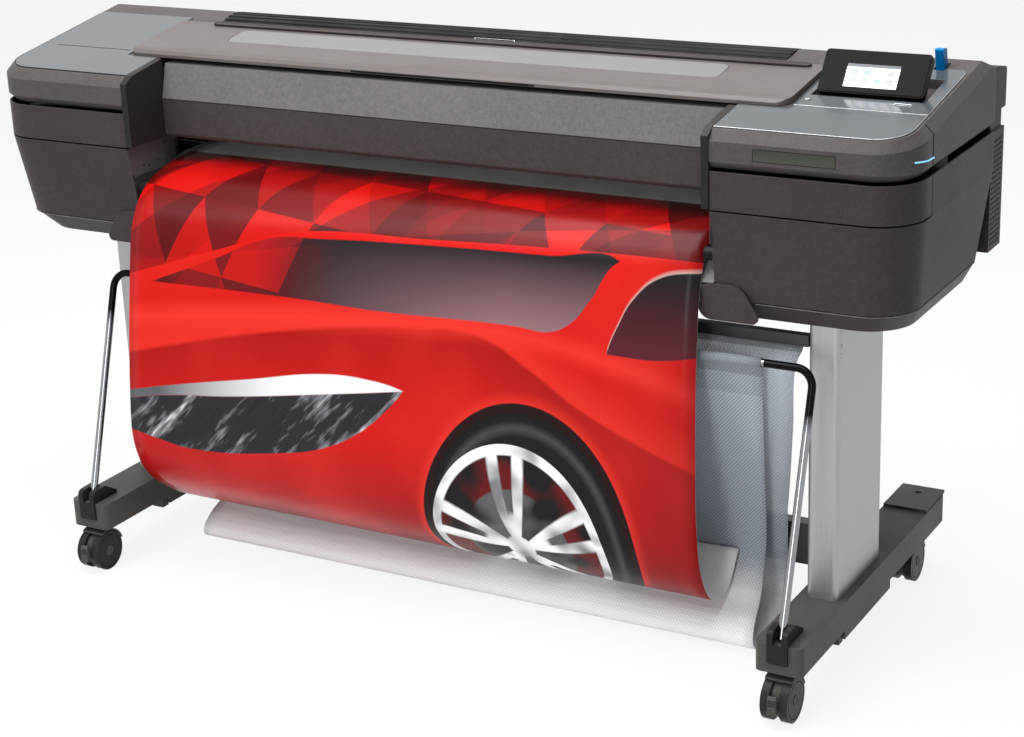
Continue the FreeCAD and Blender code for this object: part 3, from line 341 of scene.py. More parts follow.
surface = {"wornPlasticAndHighlight": 2.2, "wornMetalAndHighlight": 1.5, "dust": (188, 184, 180), "plasticSpread": 0.05,
           "metalSpread": 0.04}


def plastic(name, colour, rough=0.44, grain=360, depth=0.00012, contrast=0.2, radius=0.0022, edgeWearAndHighlight=0.4,
            dust=0.04, coat=0.0, coatRough=0.1, shine=0.09, upper=None):
    material, shader, place = newMaterial(name)
    skin = useGroup(grainGroup, Place=place, Size=grain)
    corner = useGroup(edgeGroup, Radius=radius, Height=skin["Height"], Depth=depth)
    film = useGroup(dustGroup, Place=place)
    base = mixed(skin["Tone"], scaled(colour, 1 - contrast), scaled(colour, 1 + contrast))
    if upper:
        # painted highlight: a lighter colour above a height, for an upward facet that catches the light
        level, light = upper
        height = splitPlace(place)["Z"]
        paintedUpperLight = mixed(skin["Tone"], scaled(light, 1 - contrast), scaled(light, 1 + contrast))
        base = mixed(fade(height, level - 0.001, level + 0.001), base, paintedUpperLight)
    # edges lighter: partly wear, partly painted highlight where edges catch the light
    base = mixed(times(corner["Edge"], edgeWearAndHighlight), base, scaled(colour, surface["wornPlasticAndHighlight"]))
    base = mixed(times(film["Mask"], dust), base, tone(*surface["dust"]))
    spread = surface["plasticSpread"]
    wire(shader, {
        "Base Color": base,
        "Roughness": fade(skin["Patch"], 0.0, 1.0, rough - spread, rough + spread),
        "Normal": corner["Normal"],
        "Specular IOR Level": shine,
        "Coat Weight": coat,
        "Coat Roughness": coatRough,
    })
    return material


def metal(name, colour, rough=0.3, stretch=(900, 900, 6), depth=0.00003, contrast=0.08, radius=0.001,
          edgeWearAndHighlight=0.3, metallic=1.0, upper=None):
    material, shader, place = newMaterial(name)
    lines = useGroup(brushGroup, Place=place, Stretch=stretch)
    corner = useGroup(edgeGroup, Radius=radius, Height=lines["Height"], Depth=depth)
    base = mixed(lines["Tone"], scaled(colour, 1 - contrast), scaled(colour, 1 + contrast))
    # edges lighter: partly wear, partly painted highlight where edges catch the light
    base = mixed(times(corner["Edge"], edgeWearAndHighlight), base, scaled(colour, surface["wornMetalAndHighlight"]))
    if upper:
        # blackened above a height
        level, dark = upper
        height = splitPlace(place)["Z"]
        base = mixed(fade(height, level - 0.015, level + 0.015), base, dark)
    spread = surface["metalSpread"]
    wire(shader, {
        "Base Color": base,
        "Roughness": fade(lines["Tone"], 0.0, 1.0, rough - spread, rough + spread),
        "Normal": corner["Normal"],
        "Metallic": metallic,
    })
    return material


def rubber(name, colour, rough=0.7):
    return plastic(name, colour, rough=rough, grain=1400, depth=0.00012, contrast=0.14, radius=0.0008,
                   edgeWearAndHighlight=0.1, dust=0.12)


def paperStock(name, colour):
    # fibres and faint clouds of uncoated paper
    material, shader, place = newMaterial(name)
    fibre = noise(place, 900.0, 4.0, 0.7)
    cloud = noise(place, 14.0, 3.0)
    base = mixed(fade(fibre, 0.3, 0.7), scaled(colour, 0.96), colour)
    base = mixed(fade(cloud, 0.3, 0.8, 0.0, 0.25), base, scaled(colour, 0.93))
    rough = fade(cloud, 0.0, 1.0, 0.5, 0.62)
    wire(shader, {"Base Color": base, "Roughness": rough, "Normal": bumped(fibre, 0.3, 0.00004)})
    return material


finishes = {
    "body_plastic": plastic("bodyPlastic", tone(60, 55, 54)),
    # the fascia's upper facet is painted lighter: painted highlight where it faces up
    "fascia_plastic": plastic("fasciaPlastic", tone(64, 59, 58), rough=0.4,
                              upper=(0.880, tone(104, 101, 100))),
    "gloss_panel": plastic("glossPanel", tone(68, 74, 78), rough=0.22, grain=1200, depth=0.00001,
                           contrast=0.03, coat=0.4, coatRough=0.08, dust=0.02, shine=0.3),
    "black_plastic": plastic("blackPlastic", tone(22, 22, 23), rough=0.34, grain=900, depth=0.00005,
                             contrast=0.1),
    "display_glass": plastic("displayGlass", tone(6, 6, 7), rough=0.1, depth=0.0, contrast=0.02, edgeWearAndHighlight=0.0,
                             dust=0.0, shine=0.06),
    "blue_plastic": plastic("bluePlastic", tone(0, 122, 196), rough=0.32, grain=900, depth=0.00004,
                            contrast=0.05),
    "button_plastic": plastic("buttonPlastic", tone(178, 180, 182), rough=0.3, depth=0.00002, contrast=0.04),
    "stand_plastic": plastic("standPlastic", tone(74, 74, 71), rough=0.42, grain=500, contrast=0.12,
                             dust=0.06),
    "wheel_plastic": plastic("wheelPlastic", tone(42, 42, 42), rough=0.3, grain=900, depth=0.00004,
                             contrast=0.1),
    "aluminium": metal("aluminium", tone(168, 168, 169), rough=0.42, metallic=0.85),
    "dark_steel": metal("darkSteel", tone(62, 63, 65), rough=0.4, stretch=(6, 800, 800), metallic=0.6),
    "zinc_steel": metal("zincSteel", tone(168, 170, 172), rough=0.36, stretch=(14, 300, 300)),
    "roller_rubber": rubber("rollerRubber", tone(48, 48, 50)),
    "chrome": metal("chromeRod", tone(140, 142, 146), rough=0.1, stretch=(300, 300, 9), depth=0.00001,
                    contrast=0.05),
    "paper": paperStock("paperStock", tone(244, 244, 242)),
    "belt_rubber": rubber("beltRubber", tone(24, 24, 25), rough=0.6),
}

special = {
    "lid": plastic("lidPlastic", tone(90, 84, 82), rough=0.38, contrast=0.08, edgeWearAndHighlight=0.2, shine=0.3),
    "lid_window": plastic("windowPlastic", tone(116, 115, 113), rough=0.34, grain=700, depth=0.00003,
                          contrast=0.04, shine=0.3),
    "left_top_cover": plastic("tierPlastic", tone(78, 74, 73)),
    "display": plastic("displayShell", tone(18, 18, 19), rough=0.4, grain=900, contrast=0.05, edgeWearAndHighlight=0.15,
                       dust=0.0, shine=0.08),
    "roll_cover": plastic("coverPlastic", tone(18, 18, 18), rough=0.36, grain=800, depth=0.00004,
                          contrast=0.1),
    "cheek_bars": plastic("cheekPlastic", tone(40, 38, 37), rough=0.36, contrast=0.12),
    "output_guide": plastic("guidePlastic", tone(112, 110, 108), rough=0.4, grain=900, contrast=0.1),
    "basket_rods": metal("basketRod", tone(146, 148, 152), rough=0.1, stretch=(300, 300, 9), depth=0.00001,
                         contrast=0.05, upper=(0.475, tone(24, 24, 25))),
    "hinge_brackets": plastic("clevisPlastic", tone(38, 38, 37), rough=0.3, contrast=0.1),
}
special["right_top_cover"] = special["left_top_cover"]


def dressNodes():
    for name, node in nodes.items():
        if name in special:
            finish = special[name]
        else:
            slotName = node.material_slots[0].material.name.split(".")[0]
            finish = finishes.get(slotName)
        if finish is None:
            continue
        for slot in node.material_slots:
            slot.material = finish


dressNodes()
print("finishes on the CAD nodes")


# small tools for pieces

def only(piece):
    bpy.ops.object.select_all(action="DESELECT")
    piece.select_set(True)
    bpy.context.view_layer.objects.active = piece


def pick(piece, kind, test):
    # in edit mode, selects the faces, edges or points that pass the test
    bpy.ops.mesh.select_mode(type=kind)
    bpy.ops.mesh.select_all(action="DESELECT")
    mesh = bmesh.from_edit_mesh(piece.data)
    for part in {"VERT": mesh.verts, "EDGE": mesh.edges, "FACE": mesh.faces}[kind]:
        part.select_set(bool(test(part)))
    mesh.select_flush_mode()
    bmesh.update_edit_mesh(piece.data)


def startBlock(low, high):
    # a box between two corners, left in edit mode
    low, high = Vector(low), Vector(high)
    bpy.ops.mesh.primitive_cube_add(size=1, location=(low + high) / 2)
    piece = bpy.context.object
    piece.scale = high - low
    bpy.ops.object.transform_apply(location=True, rotation=False, scale=True)
    bpy.ops.object.mode_set(mode="EDIT")
    return piece


def startDisc(centre, radius, depth, axis, sides=32):
    # a cylinder centred on a point along X, Y or Z, left in edit mode
    turn = {"X": (0, math.pi / 2, 0), "Y": (math.pi / 2, 0, 0), "Z": (0, 0, 0)}[axis]
    bpy.ops.mesh.primitive_cylinder_add(vertices=sides, radius=radius, depth=depth, location=centre,
                                        rotation=turn)
    piece = bpy.context.object
    bpy.ops.object.transform_apply(location=True, rotation=True, scale=True)
    bpy.ops.object.mode_set(mode="EDIT")
    return piece


def softenEdges(width, segments=2):
    bpy.ops.mesh.select_all(action="SELECT")
    bpy.ops.mesh.bevel(offset=width, segments=segments, affect="EDGES")


def sink(piece, towards, rim, slope=0.0, depth=0.0, both=False):
    # insets the faces that look along a direction, or also against it, and lowers what is inside the rim
    towards = Vector(towards)
    squarely = 0.9
    if both:
        pick(piece, "FACE", lambda face: abs(face.normal.dot(towards)) > squarely)
    else:
        pick(piece, "FACE", lambda face: face.normal.dot(towards) > squarely)
    bpy.ops.mesh.inset(thickness=rim, depth=0)
    if depth:
        bpy.ops.mesh.inset(thickness=slope, depth=-depth)


def settle(piece, name, body, finish, smooth=35):
    # leaves edit mode, applies the place and hands the piece to its body
    if piece.mode == "EDIT":
        bpy.ops.object.mode_set(mode="OBJECT")
    only(piece)
    bpy.ops.object.transform_apply(location=True, rotation=True, scale=True)
    bpy.ops.object.shade_smooth_by_angle(angle=math.radians(smooth))
    piece.name = name
    piece.data.name = name
    piece.data.materials.clear()
    piece.data.materials.append(finish)
    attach(piece, body)
    return piece


def runs(name, points, size, body, finish, closed=False):
    # thin bars end to end along the points, joined into one piece; size is how wide and how high they are
    spots = [Vector(point) for point in points]
    if closed:
        spots.append(spots[0])
    wide, high = size
    bars = []
    for before, after in zip(spots, spots[1:]):
        half = ((after - before).length + wide * 0.8) / 2
        piece = startBlock((-wide / 2, -half, -high / 2), (wide / 2, half, high / 2))
        softenEdges(min(size) * 0.2, 1)
        bpy.ops.object.mode_set(mode="OBJECT")
        piece.rotation_mode = "QUATERNION"
        piece.rotation_quaternion = (after - before).to_track_quat("Y", "Z")
        piece.location = (before + after) / 2
        bars.append(piece)
    bpy.ops.object.select_all(action="DESELECT")
    for piece in bars:
        piece.select_set(True)
    bpy.context.view_layer.objects.active = bars[0]
    if len(bars) > 1:
        bpy.ops.object.join()
    return settle(bars[0], name, body, finish)


def smoothPath(points, steps):
    # Catmull-Rom line through the points, with the same number of steps on each run
    spots = [Vector(point) for point in points]
    spots = [spots[0] * 2 - spots[1]] + spots + [spots[-1] * 2 - spots[-2]]
    path = []
    for i in range(1, len(spots) - 2):
        a, b, c, d = spots[i - 1:i + 3]
        for k in range(steps):
            t = k / steps
            path.append(0.5 * (2 * b + (c - a) * t + (2 * a - 5 * b + 4 * c - d) * t * t
                               + (3 * b - a - 3 * c + d) * t ** 3))
    path.append(spots[-2])
    return path


def pathLengths(path):
    lengths = [0.0]
    for before, after in zip(path, path[1:]):
        lengths.append(lengths[-1] + (after - before).length)
    return lengths


def sheetMesh(name, path, edges, columns, lift=None, otherPath=None):
    # a grid along a (Y, Z) path, or from a left path to a right one
    # edges gives the left and right X at a share of the way, and the map is in metres
    lengths = pathLengths(path)
    turnTo = otherPath or path
    mesh = bmesh.new()
    uvLayer = mesh.loops.layers.uv.new("UVMap")
    rows = []
    for spot, other, length in zip(path, turnTo, lengths):
        left, right = edges(length / lengths[-1])
        row = []
        for i in range(columns + 1):
            x = left + (right - left) * i / columns
            shift = lift(x, length) if lift else Vector((0, 0, 0))
            middle = spot.lerp(other, i / columns)
            row.append((mesh.verts.new(Vector((x, middle[0], middle[1])) + shift), (x, length)))
        rows.append(row)
    for above, below in zip(rows, rows[1:]):
        for i in range(columns):
            corners = [above[i], below[i], below[i + 1], above[i + 1]]
            face = mesh.faces.new([corner[0] for corner in corners])
            face.smooth = True
            for loop, corner in zip(face.loops, corners):
                loop[uvLayer].uv = corner[1]
    data = bpy.data.meshes.new(name)
    mesh.to_mesh(data)
    mesh.free()
    piece = bpy.data.objects.new(name, data)
    bpy.context.scene.collection.objects.link(piece)
    return piece, lengths[-1]


def thicken(piece, thickness, backSlot=0):
    only(piece)
    solid = piece.modifiers.new("wall", "SOLIDIFY")
    solid.thickness = thickness
    solid.offset = 0
    solid.material_offset = backSlot
    solid.material_offset_rim = backSlot
    bpy.ops.object.modifier_apply(modifier="wall")


# printed sheet: off the roll, through the feed, over the guide and down into the basket

sheetSet = {
    "left": -0.567, "right": 0.551, "thickness": 0.0004, "steps": 8, "columns": 40, "zero": 13,
    "feed": [(0.0772, 0.914), (0.0722, 0.850), (0.0642, 0.800), (0.0592, 0.778), (0.0550, 0.7687),
             (0.0460, 0.7671), (0.0380, 0.7671), (0.0, 0.7671), (-0.060, 0.7671)],
    "leftHang": [(-0.130, 0.760), (-0.187, 0.745), (-0.230, 0.712), (-0.256, 0.666), (-0.271, 0.600),
                 (-0.290, 0.490), (-0.306, 0.370), (-0.311, 0.275), (-0.284, 0.200), (-0.228, 0.146),
                 (-0.165, 0.106), (-0.118, 0.098), (-0.090, 0.134)],
    "rightHang": [(-0.122, 0.760), (-0.165, 0.745), (-0.195, 0.716), (-0.213, 0.666), (-0.224, 0.600),
                  (-0.233, 0.490), (-0.237, 0.370), (-0.236, 0.275), (-0.226, 0.195), (-0.200, 0.134),
                  (-0.160, 0.099), (-0.105, 0.102), (-0.062, 0.156)],
}

# heights of the drawn bands over the width, both in metres on the sheet
artSet = {
    "width": 1.2,
    "crest": [(-0.6, 0.575), (-0.375, 0.648), (-0.241, 0.690), (0.06, 0.706), (0.437, 0.715), (0.6, 0.713)],
    "sweepTop": [(-0.6, 0.545), (-0.381, 0.631), (-0.269, 0.678), (-0.161, 0.687), (0.064, 0.696),
                 (0.277, 0.700), (0.407, 0.702), (0.44, 0.58), (0.6, 0.56)],
    "sweepLow": [(-0.6, 0.575), (-0.305, 0.577), (-0.185, 0.576), (-0.053, 0.572), (0.226, 0.575),
                 (0.285, 0.572), (0.323, 0.589), (0.36, 0.634), (0.407, 0.702), (0.6, 0.72)],
    "fold": [(-0.6, 0.43), (-0.475, 0.462), (-0.307, 0.501), (-0.146, 0.53), (0.007, 0.549), (0.154, 0.55),
             (0.255, 0.499), (0.35, 0.44), (0.6, 0.34)],
    "crease": [(-0.6, 0.50), (-0.3, 0.535), (0.0, 0.556), (0.2, 0.56), (0.4, 0.53), (0.6, 0.47)],
    "bladeTop": [(-0.6, 0.36), (-0.479, 0.386), (-0.310, 0.417), (-0.149, 0.446), (-0.071, 0.447),
                 (0.009, 0.434), (0.1, 0.39), (0.6, 0.1)],
    "bladeLow": [(-0.6, 0.345), (-0.481, 0.367), (-0.353, 0.380), (-0.150, 0.409), (0.009, 0.434),
                 (0.1, 0.45), (0.6, 0.5)],
    "lensLow": [(-0.6, 0.30), (-0.495, 0.276), (-0.446, 0.268), (-0.243, 0.286), (-0.159, 0.306),
                (-0.092, 0.339), (-0.026, 0.393), (0.009, 0.434), (0.05, 0.5), (0.6, 0.9)],
    "archTop": [(-0.6, 0.2), (0.385, 0.5), (0.392, 0.546), (0.411, 0.595), (0.439, 0.647), (0.478, 0.682),
                (0.546, 0.697), (0.6, 0.70)],
    "archLow": [(-0.6, 0.56), (0.392, 0.546), (0.493, 0.547), (0.6, 0.575)],
    "ringCentre": (0.235, 0.160), "ringSize": (0.190, 0.262), "hubCentre": (0.212, 0.150),
    "hubSize": (0.166, 0.214), "spokes": 5, "facet": 0.115, "length": 0.905,
}


def outline(across, points):
    # height of a drawn line over the sheet's width
    share = calc("MULTIPLY_ADD", across, 1 / artSet["width"], 0.5)
    curve = addNode(share.id_data, "FloatCurve", {"Value": share})
    drawn = curve.mapping.curves[0].points
    while len(drawn) < len(points):
        drawn.new(0.5, 0.5)
    for spot, (x, height) in zip(drawn, points):
        spot.location = (x / artSet["width"] + 0.5, height)
    curve.mapping.update()
    return curve.outputs[0]


def between(up, top, low, soft=0.0012):
    above = fade(minus(up, low), -soft, soft)
    under = fade(minus(top, up), -soft, soft)
    return times(above, under)


def ringReach(across, up, centre, size):
    # 1 on the ring, less inside it, and the angle round it
    x = calc("DIVIDE", minus(across, centre[0]), size[0])
    y = calc("DIVIDE", minus(up, centre[1]), size[1])
    reach = calc("SQRT", plus(times(x, x), times(y, y)))
    return reach, calc("ARCTAN2", y, x)


def facets(across, up, size):
    # straight three-cornered facets on two slanting grids, each facet with its own chance value
    chances = []
    for slant, share in ((0.42, 1.0), (-0.55, 1.7)):
        x = calc("DIVIDE", calc("MULTIPLY_ADD", up, slant, across), size * share)
        y = calc("DIVIDE", calc("MULTIPLY_ADD", across, slant * 0.3, up), size * share * 1.2)
        half = calc("GREATER_THAN", calc("FRACT", x), calc("FRACT", y))
        cell = joinedPlace(calc("FLOOR", x), calc("FLOOR", y), half)
        chances.append(chance(cell))
    return calc("MULTIPLY_ADD", chances[0], 0.6, times(chances[1], 0.4))


def makePrint(hangLength):
    material, shader, place = newMaterial("printedSheet")
    parts = ownMap(material)
    across = parts[0]
    up = minus(hangLength, parts[1])
    lines = {key: outline(across, value) for key, value in artSet.items() if isinstance(value, list)}
    red, deep, bright = tone(198, 16, 13), tone(104, 8, 8), tone(228, 52, 42)
    dark, silver = tone(22, 20, 24), tone(226, 228, 230)

    lot = facets(across, up, artSet["facet"])
    back = ramp(lot, [(0.1, tone(72, 8, 8)), (0.4, tone(108, 12, 11)), (0.65, tone(156, 14, 12)),
                      (0.9, tone(208, 18, 16))])
    colour = back
    # the lower body, shaded by two folds
    skin = mixed(fade(up, 0.05, 0.36), tone(112, 8, 6), red)
    overFold = minus(up, lines["fold"])
    skin = mixed(fade(overFold, -0.16, 0.0, 0.0, 0.5), skin, deep)
    upperSkin = mixed(fade(overFold, 0.0, 0.07, 0.6, 0.0), red, bright)
    skin = mixed(fade(overFold, -0.004, 0.004), skin, upperSkin)
    overCrease = minus(up, lines["crease"])
    gloss = times(fade(overCrease, -0.03, 0.0), fade(overCrease, 0.035, 0.0))
    skin = mixed(times(gloss, 0.7), skin, bright)
    tail = fade(across, 0.40, 0.58)
    skin = mixed(times(tail, 0.45), skin, deep)
    flank = noise(joinedPlace(across, times(up, 0.5)), 5.0)
    skin = mixed(fade(flank, 0.45, 0.7, 0.0, 0.3), skin, bright)
    colour = mixed(fade(minus(lines["crest"], up), -0.001, 0.001), colour, skin)

    # the dark sweep under the crest, with a pale haze low in it
    sweep = between(up, lines["sweepTop"], lines["sweepLow"])
    haze = times(fade(up, 0.70, 0.575), fade(across, -0.25, 0.2))
    tint = mixed(times(haze, 0.75), dark, tone(158, 118, 124))
    tint = mixed(fade(across, -0.12, -0.3, 0.0, 0.7), tint, back)
    colour = mixed(sweep, colour, tint)
    pane = between(up, lines["archTop"], lines["archLow"])
    frameLine = between(minus(up, 0.004), lines["archTop"], lines["archLow"], 0.004)
    colour = mixed(frameLine, colour, tone(190, 160, 150))
    colour = mixed(pane, colour, mixed(fade(up, 0.55, 0.68), tone(84, 30, 38), dark))

    # a pale blade over a dark lens with bright streaks
    lens = between(up, lines["bladeLow"], lines["lensLow"])
    streakPlace = joinedPlace(times(across, 9.0), times(minus(up, across), 22.0))
    streak = noise(streakPlace, 1.0, 3.0, 0.7)
    inside = ramp(streak, [(0.0, dark), (0.52, tone(40, 40, 44)), (0.62, tone(120, 122, 126)),
                           (0.72, silver)])
    colour = mixed(lens, colour, inside)
    blade = between(up, lines["bladeTop"], lines["bladeLow"])
    colour = mixed(blade, colour, mixed(fade(across, -0.5, -0.25), tone(90, 92, 96), silver))

    # the ring and its paired spokes
    reach = ringReach(across, up, artSet["ringCentre"], artSet["ringSize"])[0]
    colour = mixed(fade(reach, 1.16, 1.07, 0.0, 0.6), colour, bright)
    colour = mixed(fade(reach, 1.075, 1.065), colour, tone(30, 8, 8))
    band = ramp(reach, [(0.0, dark), (0.84, dark), (0.9, tone(66, 66, 68)), (0.95, dark),
                        (1.0, tone(12, 12, 12))])
    colour = mixed(fade(reach, 1.003, 0.997), colour, band)
    reach, angle = ringReach(across, up, artSet["hubCentre"], artSet["hubSize"])
    turn = calc("FRACT", calc("MULTIPLY_ADD", angle, artSet["spokes"] / math.tau, 0.2))
    off = calc("ABSOLUTE", minus(turn, 0.5))
    spread = fade(reach, 0.2, 1.0, 0.30, 0.17)
    spoke = fade(minus(off, spread), 0.015, -0.015)
    gap = times(fade(off, 0.085, 0.065), fade(reach, 0.36, 0.42))
    spoke = times(spoke, minus(1.0, gap))
    rim = fade(reach, 0.90, 0.915)
    spokeMask = most(most(spoke, rim), fade(reach, 0.17, 0.15))
    shade = noise(joinedPlace(across, up), 13.0, 1.0)
    plate = ramp(shade, [(0.3, tone(122, 124, 128)), (0.5, silver), (0.6, tone(250, 250, 250)),
                         (0.75, tone(150, 152, 156))])
    behind = mixed(fade(reach, 0.62, 0.6), tone(96, 14, 16), tone(90, 90, 92))
    behind = mixed(fade(shade, 0.4, 0.6), behind, dark)
    disc = mixed(spokeMask, behind, plate)
    colour = mixed(fade(reach, 1.003, 0.997), colour, disc)

    printed = fade(parts[1], hangLength - artSet["length"], hangLength - artSet["length"] + 0.005)
    colour = mixed(printed, tone(244, 244, 242), colour)
    fibre = noise(place, 1200.0, 3.0, 0.6)
    colour = mixed(0.05, colour, mixed(fibre, tone(0, 0, 0), tone(255, 255, 255)), "OVERLAY")
    wire(shader, {
        "Base Color": colour,
        "Roughness": fade(fibre, 0.3, 0.7, 0.26, 0.34),
        "Normal": bumped(fibre, 0.2, 0.00003),
        "Specular IOR Level": 0.14,
    })
    return material


def addPrint():
    left, right = (smoothPath(sheetSet["feed"] + sheetSet[side], sheetSet["steps"])
                   for side in ("leftHang", "rightHang"))
    zero = sheetSet["zero"] * sheetSet["steps"]
    hangLength = pathLengths(left)[zero] + left[zero][1]
    piece, length = sheetMesh("print_sheet", left, lambda share: (sheetSet["left"], sheetSet["right"]),
                              sheetSet["columns"], otherPath=right)
    piece.data.materials.append(makePrint(hangLength))
    piece.data.materials.append(finishes["paper"])
    thicken(piece, sheetSet["thickness"], 1)
    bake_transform(piece)
    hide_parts("media_sheet")


addPrint()
print("printed sheet made")


# basket cloth: an open net, one layer behind and one that hangs from the bar

clothSet = {
    "centre": 0.0384, "thickness": 0.0006, "pitch": 0.006, "squash": 1.7, "steps": 8, "columns": 48,
    "barRadius": 0.0078, "bar": (-0.200, 0.557), "thread": (188, 196, 206), "gap": (124, 132, 144),
    "foldBand": 0.19,
    "frontLine": [(-0.1935, 0.5485), (-0.182, 0.505), (-0.112, 0.325), (-0.060, 0.170), (-0.073, 0.118),
                  (-0.104, 0.084), (-0.136, 0.064), (-0.155, 0.045), (-0.159, 0.030), (-0.151, 0.017),
                  (-0.132, 0.012)],
    "backLine": [(-0.150, 0.5765), (-0.166, 0.518), (-0.064, 0.285), (-0.014, 0.135), (0.0, 0.090),
                 (-0.008, 0.052), (-0.060, 0.024), (-0.100, 0.013), (-0.135, 0.010)],
    "frontHalf": [(0.0, 0.615), (0.08, 0.6136), (0.45, 0.580), (0.72, 0.559), (1.0, 0.587)],
    "backHalf": [(0.0, 0.6656), (0.22, 0.6416), (0.525, 0.597), (0.775, 0.577), (1.0, 0.587)],
}


def halfAt(table, share):
    for (low, first), (high, last) in zip(table, table[1:]):
        if share <= high:
            return first + (last - first) * (share - low) / (high - low)
    return table[-1][1]


def makeNet(name, bands, foldFrom):
    # threads and gaps follow the cloth's own map; bands are denser strips across, in metres from the top
    material, shader, place = newMaterial(name)
    parts = ownMap(material)
    wander = noise(place, 7.0, 2.0)
    down = calc("MULTIPLY_ADD", wander, 0.004, parts[1])
    mapped = joinedPlace(parts[0], times(down, clothSet["squash"]))
    dense = 0.0
    for low, high, share in bands:
        strip = times(fade(parts[1], low - 0.001, low + 0.001, 0.0, share),
                      fade(parts[1], high + 0.001, high - 0.001))
        dense = most(dense, strip)
    # the gaps get a darker colour than the threads: painted shade seen through the holes, over the net's
    # partial see-through
    thread, gap = tone(*clothSet["thread"]), tone(*clothSet["gap"])
    net = useGroup(weaveGroup, Place=mapped, Pitch=clothSet["pitch"], Fill=0.56)
    fibre = fade(noise(place, 420.0, 2.0), 0.3, 0.7)
    # paler near the fold: partly the doubled net, partly painted light standing in for the top light that the
    # print shades off
    doubledAndPaintedLight = fade(parts[1], foldFrom, foldFrom + 0.06)
    lit = mixed(fibre, scaled(thread, 0.88), scaled(thread, 1.08))
    shade = mixed(net["Thread"], gap, lit)
    shade = mixed(doubledAndPaintedLight, shade, mixed(net["Thread"], tone(214, 219, 224), tone(250, 251, 252)))
    shade = mixed(times(dense, 0.6), shade, tone(92, 98, 96))
    hold = most(fade(net["Thread"], 0.0, 1.0, 0.42, 0.9), most(dense, doubledAndPaintedLight))
    crinkle = joinedPlace(times(parts[0], 9.0), times(parts[1], 90.0))
    relief = calc("MULTIPLY_ADD", noise(crinkle, 1.0, 2.0), 2.0, net["Height"])
    wire(shader, {
        "Base Color": shade,
        "Roughness": fade(wander, 0.0, 1.0, 0.55, 0.7),
        "Alpha": hold,
        "Normal": bumped(relief, 0.5, 0.0012),
        "Specular IOR Level": 0.15,
    })
    return material


def addCloth(name, points, halves, bands, ripple, sleeve=False):
    path = smoothPath(points, clothSet["steps"])
    if sleeve:
        centre = Vector(clothSet["bar"])
        turns = [math.radians(angle) for angle in range(250, -60, -20)]
        around = [centre + clothSet["barRadius"] * Vector((math.cos(turn), math.sin(turn))) for turn in turns]
        path = around[::-1] + path
    total = pathLengths(path)[-1]

    def edges(share):
        half = halfAt(halves, share)
        return clothSet["centre"] - half, clothSet["centre"] + half

    def lift(x, length):
        weight = math.sin(math.pi * min(max(length / total, 0), 1)) ** 2
        return Vector((0, ripple * weight * (math.sin(x * 9 + length * 4) + 0.5 * math.sin(x * 23 + 1.3)), 0))

    piece, length = sheetMesh(name, path, edges, clothSet["columns"], lift)
    piece.data.materials.append(makeNet(name, bands, length - clothSet["foldBand"]))
    thicken(piece, clothSet["thickness"])
    return piece


def addBasketCloth():
    back = addCloth("cloth_back", clothSet["backLine"], clothSet["backHalf"], [(0.0, 0.012, 0.8)], 0.002)
    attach(back, "printer")
    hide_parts("basket_cloth")
    front = addCloth("cloth_front", clothSet["frontLine"], clothSet["frontHalf"],
                     [(0.0, 0.070, 0.9), (0.070, 0.112, 0.35)], 0.003, sleeve=True)
    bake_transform(front)


addBasketCloth()
print("basket cloth made")


# lit screen of the display, laid on the glass

screenSet = {"left": 0.23, "right": 0.74, "low": 0.13, "high": 0.69, "proud": 0.0002, "icons": (4, 2),
             "glow": 0.55}


def glassPlane():
    # the display glass's front face: centre of its lowest corner, its axes and its size
    mesh = nodes["display_glass"].data
    areas = {}
    for face in mesh.polygons:
        key = tuple(round(part, 2) for part in face.normal)
        areas[key] = areas.get(key, 0) + face.area
    key = max((key for key in areas if key[1] < -0.3), key=lambda key: areas[key])
    faces = [face for face in mesh.polygons if tuple(round(part, 2) for part in face.normal) == key]
    normal = faces[0].normal.copy()
    side = Vector((1, 0, 0))
    up = normal.cross(side)
    spots = [mesh.vertices[i].co for face in faces for i in face.vertices]
    level = spots[0].dot(normal)
    low = (min(spot.dot(side) for spot in spots), min(spot.dot(up) for spot in spots))
    high = (max(spot.dot(side) for spot in spots), max(spot.dot(up) for spot in spots))
    return normal, side, up, level, low, high


def glowing(material, shader, colour, strength, rough):
    wire(shader, {"Base Color": colour, "Emission Color": colour, "Emission Strength": strength,
                  "Roughness": rough})
    return material


def makeScreen():
    material, shader = newMaterial("litScreen")[:2]
    parts = ownMap(material)
    columns, rows = screenSet["icons"]
    across = times(fade(parts[0], 0.05, 0.95), columns)
    up = times(fade(parts[1], 0.06, 0.80), rows)
    x = minus(calc("FRACT", across), 0.5)
    y = minus(calc("FRACT", up), 0.58)
    squareX = calc("POWER", calc("ABSOLUTE", times(x, 4.4)), 4.0)
    squareY = calc("POWER", calc("ABSOLUTE", times(y, 3.9)), 4.0)
    icon = fade(plus(squareX, squareY), 1.15, 0.85)
    under = times(fade(calc("ABSOLUTE", x), 0.25, 0.22), fade(calc("ABSOLUTE", plus(y, 0.42)), 0.035, 0.025))
    cell = joinedPlace(calc("FLOOR", across), calc("FLOOR", up))
    pickOne = chance(cell)
    kinds = ramp(pickOne, [(0.0, tone(40, 130, 205)), (0.4, tone(96, 106, 120)), (0.62, tone(40, 130, 205)),
                           (0.85, tone(150, 156, 164))], "CONSTANT")
    dot = fade(plus(times(x, x), times(y, y)), 0.011, 0.008)
    colour = mixed(icon, tone(242, 244, 246), kinds)
    colour = mixed(times(dot, icon), colour, tone(236, 240, 244))
    colour = mixed(under, colour, tone(160, 166, 172))
    colour = mixed(fade(parts[1], 0.86, 0.865), colour, tone(58, 64, 74))
    return glowing(material, shader, colour, screenSet["glow"], 0.14)


